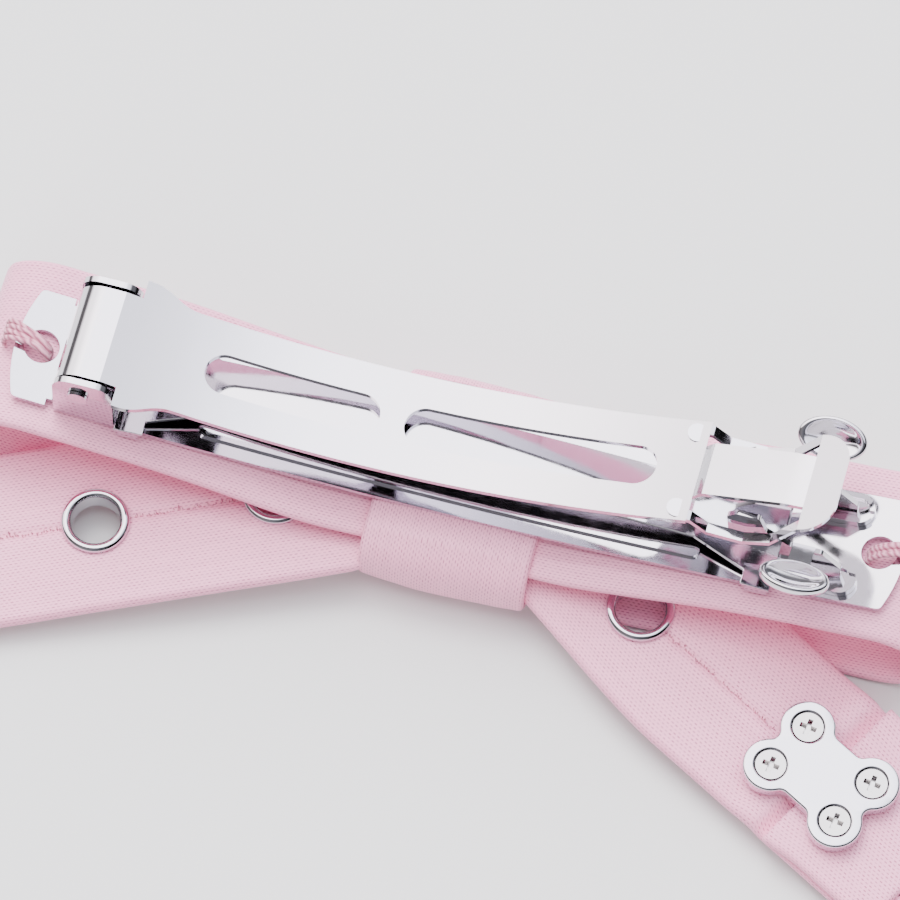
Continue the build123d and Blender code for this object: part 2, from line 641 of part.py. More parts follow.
near_catch_foot = catch_foot(-1)
far_catch_foot = catch_foot(1)
near_catch_wing = catch_wing(-1)
far_catch_wing = catch_wing(1)

# ---- bow loops: one ring of ribbon ----
loop_top_z = base_bottom(HALF) - 2 * LAYER_GAP
front_low = WRAP_THICKNESS + LAYER_GAP
back_top = LOOP_BACK_BOTTOM + RIBBON_THICKNESS
with BuildPart() as bow_loops:
    with BuildSketch(side(RIBBON_WIDTH / 2)):
        with BuildLine():
            FilletPolyline(
                (0, front_low), (WRAP_RIGHT_X + LOOP_START, front_low),
                (WRAP_RIGHT_X + LOOP_START + LOOP_SPREAD, LOOP_LIFT), (LOOP_END_X, LOOP_LIFT),
                (LOOP_END_X, loop_top_z), (WRAP_RIGHT_X, back_top), (0, back_top),
                (WRAP_LEFT_X, back_top), (-LOOP_END_X, loop_top_z), (-LOOP_END_X, LOOP_LIFT),
                (WRAP_LEFT_X - LOOP_START - LOOP_SPREAD, LOOP_LIFT),
                (WRAP_LEFT_X - LOOP_START, front_low),
                radius=[
                    0, LOOP_KNEE, LOOP_BEND, loop_low_radius, LOOP_CORNER, LOOP_BEND, 0,
                    LOOP_BEND, LOOP_CORNER, loop_low_radius, LOOP_BEND, LOOP_KNEE,
                ],
                close=True,
            )
        make_face()
        offset(amount=-RIBBON_THICKNESS, kind=Kind.INTERSECTION, mode=Mode.SUBTRACT)
    extrude(amount=RIBBON_WIDTH)

# ---- knot wrap ----
with BuildPart() as knot_wrap:
    with BuildSketch(Plane(origin=(WRAP_LEFT_X, 0, 0), x_dir=(0, 1, 0), z_dir=(1, 0, 0))):
        wrap_middle = ((WRAP_NEAR_Y + WRAP_FAR_Y) / 2, WRAP_TOP / 2)
        wrap_span = WRAP_FAR_Y - WRAP_NEAR_Y
        with Locations(wrap_middle):
            RectangleRounded(wrap_span, WRAP_TOP, WRAP_CORNER)
            RectangleRounded(
                wrap_span - 2 * WRAP_THICKNESS, WRAP_TOP - 2 * WRAP_THICKNESS,
                WRAP_INNER_CORNER, mode=Mode.SUBTRACT,
            )
    extrude(amount=WRAP_RIGHT_X - WRAP_LEFT_X)

# ---- tails ----
plate_reach = PLATE_SCREW_ALONG + PLATE_LOBE_RADIUS
plate_low = plate_reach * PLATE_TILT + LOOP_LIFT + RIBBON_THICKNESS - PLATE_DROP
tail_slope = math.atan(
    (TAIL_ROOT_HEIGHT - PLATE_THICKNESS - plate_low - LAYER_GAP) / PLATE_PLACE
)


def tail_plane(side_sign, angle, along=0.0, lift=0.0, across=0.0):
    """The plane of a tail's lower face: its x runs out along the tail."""
    turn = math.radians(angle)
    out = Vector(side_sign * math.cos(turn), -math.sin(turn), 0)
    x_dir = out * math.cos(tail_slope) - Vector(0, 0, math.sin(tail_slope))
    z_dir = out * math.sin(tail_slope) + Vector(0, 0, math.cos(tail_slope))
    root_y = TAIL_ROOT_Y + (RIGHT_TAIL_RAISE if side_sign > 0 else 0)
    root = Vector(0, root_y, TAIL_ROOT_HEIGHT - LAYER_GAP)
    place = root + x_dir * along + z_dir * lift + z_dir.cross(x_dir) * across
    return Plane(origin=place, x_dir=x_dir, z_dir=z_dir)


def tail(side_sign, angle, length, eyelets, fold_at, screws):
    plane = tail_plane(side_sign, angle)
    with BuildPart() as ribbon:
        with BuildSketch(plane):
            with Locations(((length - TAIL_INSIDE) / 2, 0)):
                Rectangle(length + TAIL_INSIDE, TAIL_WIDTH)
            with Locations(*[(x, 0) for x in eyelets]):
                Circle(EYELET_HOLE_RADIUS + EYELET_WALL + FIT, mode=Mode.SUBTRACT)
        extrude(amount=TAIL_THICKNESS)
        if fold_at:
            with BuildSketch(tail_plane(side_sign, angle, lift=TAIL_THICKNESS)):
                with Locations(((length + fold_at) / 2, 0)):
                    Rectangle(length - fold_at, TAIL_WIDTH - 2 * FOLD_MARGIN)
            extrude(amount=FOLD_THICKNESS)
        if screws:
            with BuildSketch(plane):
                with Locations(*screws):
                    Circle(SCREW_SHANK_RADIUS + 2 * SCREW_CLEARANCE)
            extrude(amount=TAIL_THICKNESS + FOLD_THICKNESS, mode=Mode.SUBTRACT)
        # inside the knot the ribbon is gathered to the wrap's width
        knot_edge = -WRAP_LEFT_X if side_sign < 0 else WRAP_RIGHT_X
        keep_low = WRAP_NEAR_Y + WRAP_THICKNESS + LAYER_GAP
        keep_high = WRAP_FAR_Y - WRAP_THICKNESS - LAYER_GAP
        for low, high in ((-THROUGH, keep_low), (keep_high, THROUGH)):
            with BuildSketch(Plane.XY):
                with Locations((side_sign * (knot_edge + LAYER_GAP) / 2, (low + high) / 2)):
                    Rectangle(knot_edge + LAYER_GAP, high - low)
            extrude(amount=THROUGH, mode=Mode.SUBTRACT)
        with BuildSketch(Plane.XY):
            with Locations((-side_sign * (THROUGH - LAYER_GAP) / 2, 0)):
                Rectangle(THROUGH, 2 * THROUGH)
        extrude(amount=THROUGH, mode=Mode.SUBTRACT)
    return ribbon.part


screw_places = [
    (PLATE_PLACE + a * PLATE_SCREW_ALONG, PLATE_ACROSS + b * PLATE_SCREW_ACROSS)
    for a in (-1, 1)
    for b in (-1, 1)
]
left_tail = tail(-1, LEFT_TAIL_ANGLE, LEFT_TAIL_LENGTH, LEFT_EYELETS.values(), None, [])
right_tail = tail(
    1, RIGHT_TAIL_ANGLE, RIGHT_TAIL_LENGTH, [RIGHT_EYELET], PLATE_PLACE, screw_places
)


def tail_seam(side_sign, angle, end, eyelets):
    """The raised edge of the ribbon tube's seam, down the middle of the tail's back."""
    with BuildPart() as seam:
        with BuildSketch(tail_plane(side_sign, angle, lift=TAIL_THICKNESS)):
            with Locations(((SEAM_START + end) / 2, 0)):
                Rectangle(end - SEAM_START, SEAM_WIDTH)
            with Locations(*[(x, 0) for x in eyelets]):
                Circle(EYELET_OUTER_RADIUS + LAYER_GAP, mode=Mode.SUBTRACT)
        extrude(amount=SEAM_HEIGHT)
    return seam.part


left_tail_seam = tail_seam(-1, LEFT_TAIL_ANGLE, LEFT_TAIL_LENGTH - SEAM_WIDTH, LEFT_EYELETS.values())
right_tail_seam = tail_seam(
    1, RIGHT_TAIL_ANGLE, PLATE_PLACE - plate_reach - LAYER_GAP, [RIGHT_EYELET]
)


def eyelet(side_sign, angle, along):
    """A pressed eyelet: a barrel through the ribbon, a flat front flange and a rolled back."""
    place = tail_plane(side_sign, angle, along=along)
    profile = Plane(origin=place.origin, x_dir=place.x_dir, z_dir=place.x_dir.cross(place.z_dir))
    with BuildPart() as ring:
        with BuildSketch(profile):
            with BuildLine():
                barrel = EYELET_HOLE_RADIUS + EYELET_WALL
                top = TAIL_THICKNESS
                rim = top + EYELET_ROLL * EYELET_ROLL_SHARE
                Polyline(
                    (barrel, top), (barrel, 0), (EYELET_OUTER_RADIUS, 0),
                    (EYELET_OUTER_RADIUS, -EYELET_WALL), (EYELET_HOLE_RADIUS, -EYELET_WALL),
                    (EYELET_HOLE_RADIUS, rim),
                )
                roll_middle = (EYELET_HOLE_RADIUS + EYELET_OUTER_RADIUS) / 2
                ThreePointArc(
                    (EYELET_HOLE_RADIUS, rim), (roll_middle, top + EYELET_ROLL),
                    (EYELET_OUTER_RADIUS, top),
                )
                Line((EYELET_OUTER_RADIUS, top), (barrel, top))
            make_face()
        revolve(axis=Axis(place.origin, place.z_dir))
    return ring.part


left_eyelets = {name: eyelet(-1, LEFT_TAIL_ANGLE, x) for name, x in LEFT_EYELETS.items()}
right_eyelet = eyelet(1, RIGHT_TAIL_ANGLE, RIGHT_EYELET)


# ---- clamp plates and their screws ----
plate_screws = [(x - PLATE_PLACE, y - PLATE_ACROSS) for x, y in screw_places]


def plate_plane(lift):
    """The plane of the clamp plates this far above the tail's lower face."""
    return tail_plane(1, RIGHT_TAIL_ANGLE, PLATE_PLACE, lift, PLATE_ACROSS)


with BuildSketch() as lobed_outline:
    with Locations(*plate_screws):
        Circle(PLATE_LOBE_RADIUS)
    Rectangle(PLATE_LENGTH, 2 * PLATE_SCREW_ACROSS)
    Rectangle(2 * PLATE_SCREW_ALONG, PLATE_WAIST)
    offset(amount=PLATE_BLEND, kind=Kind.ARC, mode=Mode.REPLACE)
    offset(amount=-PLATE_BLEND, kind=Kind.ARC, mode=Mode.REPLACE)


back_lift = TAIL_THICKNESS + FOLD_THICKNESS
with BuildPart() as clamp_plate_back:
    with BuildSketch(plate_plane(back_lift)):
        add(lobed_outline.sketch)
    extrude(amount=PLATE_THICKNESS)
    fillet(clamp_plate_back.faces().sort_by(Axis.Z)[-1].edges(), PLATE_EDGE)
    with Locations(plate_plane(back_lift + PLATE_THICKNESS)):
        with Locations(*plate_screws):
            CounterSinkHole(
                SCREW_SHANK_RADIUS + 2 * SCREW_CLEARANCE,
                SCREW_HEAD_RADIUS + SCREW_SINK + 1.5 * SCREW_CLEARANCE,
                counter_sink_angle=90,
            )
with BuildPart() as clamp_plate_front:
    with BuildSketch(plate_plane(-PLATE_THICKNESS)):
        add(lobed_outline.sketch)
    extrude(amount=PLATE_THICKNESS)
    with Locations(plate_plane(0)):
        with Locations(*plate_screws):
            Hole(SCREW_SHANK_RADIUS + SCREW_CLEARANCE, depth=PLATE_THICKNESS * SCREW_HOLE_DEPTH)

shank_low = -PLATE_THICKNESS * SCREW_DEPTH
head_top = back_lift + PLATE_THICKNESS - SCREW_SINK
head_low = head_top - (SCREW_HEAD_RADIUS - SCREW_SHANK_RADIUS)
screws = []
for along, across in screw_places:
    place = tail_plane(1, RIGHT_TAIL_ANGLE, along)
    origin = place.origin + place.y_dir * across
    cut = Plane(origin=origin, x_dir=place.x_dir, z_dir=place.x_dir.cross(place.z_dir))
    with BuildPart() as screw:
        with BuildSketch(cut):
            with BuildLine():
                Polyline(
                    (0, shank_low), (SCREW_SHANK_RADIUS, shank_low),
                    (SCREW_SHANK_RADIUS, head_low), (SCREW_HEAD_RADIUS, head_top),
                    (0, head_top), close=True,
                )
            make_face()
        revolve(axis=Axis(origin, place.z_dir))
        recess = Plane(
            origin=origin + place.z_dir * head_top, x_dir=place.x_dir, z_dir=place.z_dir
        )
        with BuildSketch(recess):
            Rectangle(SCREW_SLOT_LENGTH, SCREW_SLOT, rotation=SCREW_TURN)
            Rectangle(SCREW_SLOT, SCREW_SLOT_LENGTH, rotation=SCREW_TURN)
        extrude(amount=-SCREW_SLOT_DEPTH, mode=Mode.SUBTRACT)
    screws.append(screw.part)
clamp_screws = Compound(children=screws)


# ---- sewing threads ----
def sewing_thread(sign):
    """A bundle of threads, up through the sewing hole and over the end of the base."""
    inner_x = hole_x + THREAD_INSIDE
    outer_x = HALF + THREAD_OUTSIDE
    over_z = base_top(HALF) + LAYER_GAP
    low_z = base_bottom(inner_x) - FIT
    t = THREAD_THICKNESS
    with BuildPart() as thread:
        with BuildSketch(side(THREAD_WIDTH / 2)):
            with BuildLine():
                FilletPolyline(
                    (sign * (inner_x - t), low_z), (sign * (inner_x - t), over_z + t),
                    (sign * (outer_x + t), over_z + t), (sign * (outer_x + t), low_z),
                    (sign * outer_x, low_z), (sign * outer_x, over_z),
                    (sign * inner_x, over_z), (sign * inner_x, low_z),
                    radius=[THREAD_BEND, THREAD_BEND, 0, 0, 2 * FIT, 2 * FIT],
                )
                Line((sign * inner_x, low_z), (sign * (inner_x - t), low_z))
            make_face()
        extrude(amount=THREAD_WIDTH)
    return thread.part


# ---- write every piece ----
pieces = {
    "base_plate": base_plate.part,
    "tension_bar": tension_bar.part,
    "hinge_pin": hinge_pin.part,
    "clamp_arm": clamp_arm.part,
    "near_catch_foot": near_catch_foot,
    "far_catch_foot": far_catch_foot,
    "near_catch_wing": near_catch_wing,
    "far_catch_wing": far_catch_wing,
    "bow_loops": bow_loops.part,
    "knot_wrap": knot_wrap.part,
    "left_tail": left_tail,
    "right_tail": right_tail,
    "left_tail_seam": left_tail_seam,
    "right_tail_seam": right_tail_seam,
    "eyelet_right": right_eyelet,
    "clamp_plate_back": clamp_plate_back.part,
    "clamp_plate_front": clamp_plate_front.part,
    "clamp_screws": clamp_screws,
    "left_sewing_thread": sewing_thread(-1),
    "right_sewing_thread": sewing_thread(1),
}
for eyelet_name, ring in left_eyelets.items():
    pieces["eyelet_left_" + eyelet_name] = ring
for piece_name, piece in pieces.items():
    piece.label = piece_name
    export_step(piece, "parts/" + piece_name + ".step")
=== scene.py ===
"""Looks of a satin ribbon bow with a sprung nickel barrette sewn to its back.

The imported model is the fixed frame. The ribbons, seams and threads are made here, and every
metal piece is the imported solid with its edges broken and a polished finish.
"""

import logging
import math
from dataclasses import dataclass, field
from enum import Enum
from typing import Callable, Iterable, Sequence

import bmesh
import bpy
from mathutils import Matrix, Vector, noise


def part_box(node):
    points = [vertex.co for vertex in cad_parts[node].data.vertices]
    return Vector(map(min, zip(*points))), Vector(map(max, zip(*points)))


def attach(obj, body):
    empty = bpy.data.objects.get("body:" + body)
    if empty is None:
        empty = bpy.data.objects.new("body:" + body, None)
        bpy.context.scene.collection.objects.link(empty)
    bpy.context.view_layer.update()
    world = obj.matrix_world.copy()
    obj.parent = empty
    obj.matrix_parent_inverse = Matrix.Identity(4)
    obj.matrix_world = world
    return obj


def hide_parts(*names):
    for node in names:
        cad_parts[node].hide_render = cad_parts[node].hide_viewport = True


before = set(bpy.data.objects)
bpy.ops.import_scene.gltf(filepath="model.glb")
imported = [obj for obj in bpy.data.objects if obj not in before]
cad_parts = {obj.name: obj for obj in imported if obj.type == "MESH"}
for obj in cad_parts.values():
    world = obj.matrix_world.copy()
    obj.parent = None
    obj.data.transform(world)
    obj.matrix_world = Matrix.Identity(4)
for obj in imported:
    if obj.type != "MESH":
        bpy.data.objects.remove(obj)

MM = 0.001
SEED = 7
TINY = 1e-9
CURVE_SAMPLES = 24          # between two points of a smooth path
EDGE_STEPS = 5              # round each edge of a ribbon
EDGE_SHARE = 0.3            # of the thickness, given to each step round an edge in the UV map
EDGE_FADE = 6               # how abruptly a ribbon's ripples die at its edges
log = logging.getLogger("bow")


class Slot(Enum):
    """The record's material slots."""

    NICKEL = "polished_nickel"
    SATIN = "satin_ribbon"
    THREAD = "sewing_thread"
    SCREW = "screw_steel"


class Body(Enum):
    """The bodies that pieces ride on."""

    ROOT = "root"
    ARM = "arm"
    NEAR_WING = "near_wing"
    FAR_WING = "far_wing"


# ---------------------------------------------------------------- small tools


def linear(hex_colour: str) -> tuple[float, float, float, float]:
    """Turns an sRGB hex colour into linear RGBA.

    Args:
        hex_colour: six hex digits, such as "F0CDDA".

    Returns:
        The linear colour with alpha 1.
    """
    parts = [int(hex_colour[i : i + 2], 16) / 255 for i in (0, 2, 4)]
    bent = [p / 12.92 if p <= 0.04045 else ((p + 0.055) / 1.055) ** 2.4 for p in parts]
    return (bent[0], bent[1], bent[2], 1.0)


def add_node(
    tree: bpy.types.NodeTree, kind: str, inputs: dict | None = None, **settings: object
) -> bpy.types.Node:
    """Adds a node, sets its properties, and fills or links its inputs.

    Args:
        tree: the node tree that gets the node.
        kind: the node's type name.
        inputs: input name or number to a value, or to the socket that feeds it.
        settings: properties of the node itself.

    Returns:
        The new node.
    """
    node = tree.nodes.new(kind)
    for name, value in settings.items():
        setattr(node, name, value)
    for name, value in (inputs or {}).items():
        if isinstance(value, bpy.types.NodeSocket):
            tree.links.new(value, node.inputs[name])
        else:
            node.inputs[name].default_value = value
    return node


def smooth(low: float, high: float, x: float) -> float:
    """Goes smoothly from 0 where x is low to 1 where x is high, in either direction."""
    t = min(1.0, max(0.0, (x - low) / (high - low)))
    return t * t * (3 - 2 * t)


def new_piece(name: str, mesh: bpy.types.Mesh, material: bpy.types.Material,
              body: Body = Body.ROOT) -> bpy.types.Object:
    """Makes an object at the origin from a mesh, dresses it and lets it ride.

    Args:
        name: the piece's name.
        mesh: its mesh, in place, in metres.
        material: its finish.
        body: the body that it moves with.

    Returns:
        The new object.
    """
    piece = bpy.data.objects.new(name, mesh)
    bpy.context.scene.collection.objects.link(piece)
    mesh.materials.clear()
    mesh.materials.append(material)
    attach(piece, body.value)
    log.info("%s: %d faces, on %s", name, len(mesh.polygons), body.value)
    return piece


def plain_mesh(piece: bpy.types.Object, name: str) -> bpy.types.Mesh:
    """Turns an object, with its modifiers applied, into a plain mesh.

    Args:
        piece: the object.
        name: the new mesh's name.

    Returns:
        The mesh.
    """
    bpy.context.view_layer.update()
    evaluated = piece.evaluated_get(bpy.context.evaluated_depsgraph_get())
    mesh = bpy.data.meshes.new_from_object(evaluated)
    mesh.name = name
    return mesh


# ---------------------------------------------------------------- finishes


@dataclass(frozen=True)
class Satin:
    """Polyester satin ribbon, woven.

    Long floats of smooth yarn give a soft sheen along the ribbon, and the points where the
    floats are bound down show as rows of small darker dashes. The rows of real ribbon are a
    little finer, and are drawn this coarse so that they show.
    """

    name: str = "polyester_satin_woven"
    cloth: str = "F9A9C9"
    binding: str = "A84E70"
    dash_pitch_mm: float = 0.46
    row_pitch_mm: float = 0.27
    row_shift: float = 0.4
    dash_long: float = 0.36
    dash_high: float = 0.20
    dash_edge: tuple = (1.15, 0.35)
    faintest_dash: float = 0.45
    binding_share: float = 0.85
    streak_scale: tuple = (0.05, 1.6, 1.0)
    streak_detail: float = 3.0
    streak_range: tuple = (0.3, 0.7)
    streak_shade: float = 0.93
    yarn_turns: float = 22.0    # radians of yarn ripple for each mm across
    yarn_height: float = 0.08
    bump_strength: float = 0.5
    bump_mm: float = 0.06
    roughness: float = 0.5
    specular: float = 0.45
    sheen: float = 0.25
    sheen_roughness: float = 0.4
    sheen_tint: str = "FFE3EC"
    anisotropic: float = 0.5

    def build(self) -> bpy.types.Material:
        """Builds the finish on the ribbon's own UV map, which is in millimetres."""
        material = bpy.data.materials.new(self.name)
        material.use_nodes = True
        tree = material.node_tree
        shader = tree.nodes["Principled BSDF"]
        place = add_node(tree, "ShaderNodeUVMap", uv_map="ribbon_mm")
        parts = add_node(tree, "ShaderNodeSeparateXYZ", {0: place.outputs[0]})

        def maths(operation: str, a: object, b: object = 0.0) -> bpy.types.NodeSocket:
            """Adds one sum and returns its result."""
            node = add_node(tree, "ShaderNodeMath", {0: a, 1: b}, operation=operation)
            return node.outputs[0]

        row = maths("DIVIDE", parts.outputs[1], self.row_pitch_mm)
        row_number = maths("FLOOR", row)
        along = maths("DIVIDE", parts.outputs[0], self.dash_pitch_mm)
        shifted = maths("ADD", along, maths("MULTIPLY", row_number, self.row_shift))
        cell = add_node(
            tree, "ShaderNodeCombineXYZ", {0: maths("FLOOR", shifted), 1: row_number}
        )
        chance = add_node(
            tree, "ShaderNodeTexWhiteNoise", {"Vector": cell.outputs[0]},
            noise_dimensions="2D",
        )
        across = maths("DIVIDE", maths("SUBTRACT", maths("FRACT", row), 0.5), self.dash_high)
        ahead = maths(
            "DIVIDE", maths("SUBTRACT", maths("FRACT", shifted), 0.5), self.dash_long
        )
        distance = maths("ADD", maths("POWER", maths("ABSOLUTE", across), 2.0),
                         maths("POWER", maths("ABSOLUTE", ahead), 2.0))
        dash = add_node(
            tree, "ShaderNodeMapRange", {0: distance, 1: self.dash_edge[0],
                                        2: self.dash_edge[1]}
        )
        strength = add_node(
            tree, "ShaderNodeMapRange", {0: chance.outputs[0], 3: self.faintest_dash}
        )
        mask = maths("MULTIPLY", dash.outputs[0], strength.outputs[0])
        # bundles of yarn catch the light a little differently, in streaks along the ribbon
        stretched = add_node(
            tree, "ShaderNodeMapping", {"Vector": place.outputs[0], "Scale": self.streak_scale}
        )
        streak = add_node(
            tree, "ShaderNodeTexNoise", {"Vector": stretched.outputs[0], "Scale": 1.0,
                                         "Detail": self.streak_detail}
        )
        tone = add_node(
            tree, "ShaderNodeMapRange", {0: streak.outputs[0], 1: self.streak_range[0],
                                         2: self.streak_range[1]}
        )
        cloth = linear(self.cloth)
        darker = tuple(c * self.streak_shade for c in cloth[:3]) + (1.0,)
        base = add_node(
            tree, "ShaderNodeMix", {0: tone.outputs[0], 6: darker, 7: cloth}, data_type="RGBA"
        )
        faded = maths("MULTIPLY", mask, self.binding_share)
        colour = add_node(
            tree, "ShaderNodeMix",
            {0: faded, 6: base.outputs[2], 7: linear(self.binding)}, data_type="RGBA",
        )
        tree.links.new(colour.outputs[2], shader.inputs["Base Color"])
        yarn = maths("SINE", maths("MULTIPLY", parts.outputs[1], self.yarn_turns))
        height = maths("SUBTRACT", maths("MULTIPLY", yarn, self.yarn_height), mask)
        bump = add_node(
            tree, "ShaderNodeBump", {"Height": height, "Strength": self.bump_strength,
                                     "Distance": self.bump_mm * MM}
        )
        tree.links.new(bump.outputs[0], shader.inputs["Normal"])
        shader.inputs["Roughness"].default_value = self.roughness
        shader.inputs["Specular IOR Level"].default_value = self.specular
        shader.inputs["Sheen Weight"].default_value = self.sheen
        shader.inputs["Sheen Roughness"].default_value = self.sheen_roughness
        shader.inputs["Sheen Tint"].default_value = linear(self.sheen_tint)
        shader.inputs["Anisotropic"].default_value = self.anisotropic
        return material


@dataclass(frozen=True)
class Nickel:
    """Nickel plate, polished, on stamped spring steel.

    It gives a slightly grey mirror, with faint waviness from the stamping.
    """

    name: str = "nickel_plate_polished"
    colour: str = "D6D2D8"
    roughness: float = 0.07
    wave_mm: float = 3.5
    wave_height_mm: float = 0.012
    wave_detail: float = 1.5
    haze_mm: float = 1.1
    haze_detail: float = 5.0
    haze_range: tuple = (0.35, 0.7)
    haze_share: tuple = (0.7, 1.5)

    def build(self) -> bpy.types.Material:
        """Builds the finish on Object coordinates."""
        material = bpy.data.materials.new(self.name)
        material.use_nodes = True
        tree = material.node_tree
        shader = tree.nodes["Principled BSDF"]
        place = add_node(tree, "ShaderNodeTexCoord")
        wave = add_node(
            tree, "ShaderNodeTexNoise",
            {"Vector": place.outputs["Object"], "Scale": 1 / (self.wave_mm * MM),
             "Detail": self.wave_detail},
        )
        haze = add_node(
            tree, "ShaderNodeTexNoise",
            {"Vector": place.outputs["Object"], "Scale": 1 / (self.haze_mm * MM),
             "Detail": self.haze_detail},
        )
        rough = add_node(
            tree, "ShaderNodeMapRange",
            {0: haze.outputs[0], 1: self.haze_range[0], 2: self.haze_range[1],
             3: self.roughness * self.haze_share[0], 4: self.roughness * self.haze_share[1]},
        )
        bump = add_node(
            tree, "ShaderNodeBump",
            {"Height": wave.outputs[0], "Strength": 1.0,
             "Distance": self.wave_height_mm * MM},
        )
        tree.links.new(rough.outputs[0], shader.inputs["Roughness"])
        tree.links.new(bump.outputs[0], shader.inputs["Normal"])
        shader.inputs["Base Color"].default_value = linear(self.colour)
        shader.inputs["Metallic"].default_value = 1.0
        return material


@dataclass(frozen=True)
class Thread:
    """Spun polyester sewing thread: dull, with a fine diagonal twist whose grooves carry painted
    shade.
    """

    name: str = "spun_polyester_thread"
    colour: str = "E6A3B8"
    # painted shade: the darker colour laid into the grooves between the twist's bands
    shade: str = "A85874"
    twist_mm: float = 0.35
    bands: float = 0.3
    distortion: float = 4.0
    detail: float = 2.0
    bump_strength: float = 0.5
    bump_mm: float = 0.05
    roughness: float = 0.75
    sheen: float = 0.3

    def build(self) -> bpy.types.Material:
        """Builds the finish on Object coordinates."""
        material = bpy.data.materials.new(self.name)
        material.use_nodes = True
        tree = material.node_tree
        shader = tree.nodes["Principled BSDF"]
        place = add_node(tree, "ShaderNodeTexCoord")
        fibre = add_node(
            tree, "ShaderNodeTexWave",
            {"Vector": place.outputs["Object"], "Scale": self.bands / (self.twist_mm * MM),
             "Distortion": self.distortion, "Detail": self.detail},
            bands_direction="DIAGONAL",
        )
        # the twist's bands mix in the shade colour as painted shade in the grooves
        colour = add_node(
            tree, "ShaderNodeMix",
            {0: fibre.outputs[1], 6: linear(self.shade), 7: linear(self.colour)},
            data_type="RGBA",
        )
        bump = add_node(
            tree, "ShaderNodeBump",
            {"Height": fibre.outputs[1], "Strength": self.bump_strength,
             "Distance": self.bump_mm * MM},
        )
        tree.links.new(colour.outputs[2], shader.inputs["Base Color"])
        tree.links.new(bump.outputs[0], shader.inputs["Normal"])
        shader.inputs["Roughness"].default_value = self.roughness
        shader.inputs["Sheen Weight"].default_value = self.sheen
        return material


# ---------------------------------------------------------------- ribbon making


@dataclass
class Station:
    """One cross-section of a ribbon, in millimetres."""

    centre: Vector
    across: Vector
    normal: Vector
    near: float
    far: float
    thick: float


Ripple = Callable[[float, float, float], float]


def smooth_ring(points: Sequence[Vector], step: float) -> list[Vector]:
    """Samples a closed Catmull-Rom curve through points, about evenly.

    Args:
        points: the points that the ring passes through, in millimetres.
        step: the distance between samples, in millimetres.

    Returns:
        The samples, without the repeated last one.
    """
    count = len(points)
    dense: list[Vector] = []
    for i in range(count):
        a, b, c, d = (points[(i + k) % count] for k in (-1, 0, 1, 2))
        for j in range(CURVE_SAMPLES):
            t = j / CURVE_SAMPLES
            dense.append(
                0.5 * ((2 * b) + (c - a) * t + (2 * a - 5 * b + 4 * c - d) * t * t
                       + (3 * b - a - 3 * c + d) * t ** 3)
            )
    dense.append(points[0].copy())
    lengths = [0.0]
    for p, q in zip(dense, dense[1:]):
        lengths.append(lengths[-1] + (q - p).length)
    total = lengths[-1]
    wanted = max(3, round(total / step))
    out: list[Vector] = []
    k = 0
    for i in range(wanted):
        target = total * i / wanted
        while k < len(lengths) - 2 and lengths[k + 1] < target:
            k += 1
        span = max(lengths[k + 1] - lengths[k], TINY)
        out.append(dense[k].lerp(dense[k + 1], (target - lengths[k]) / span))
    return out


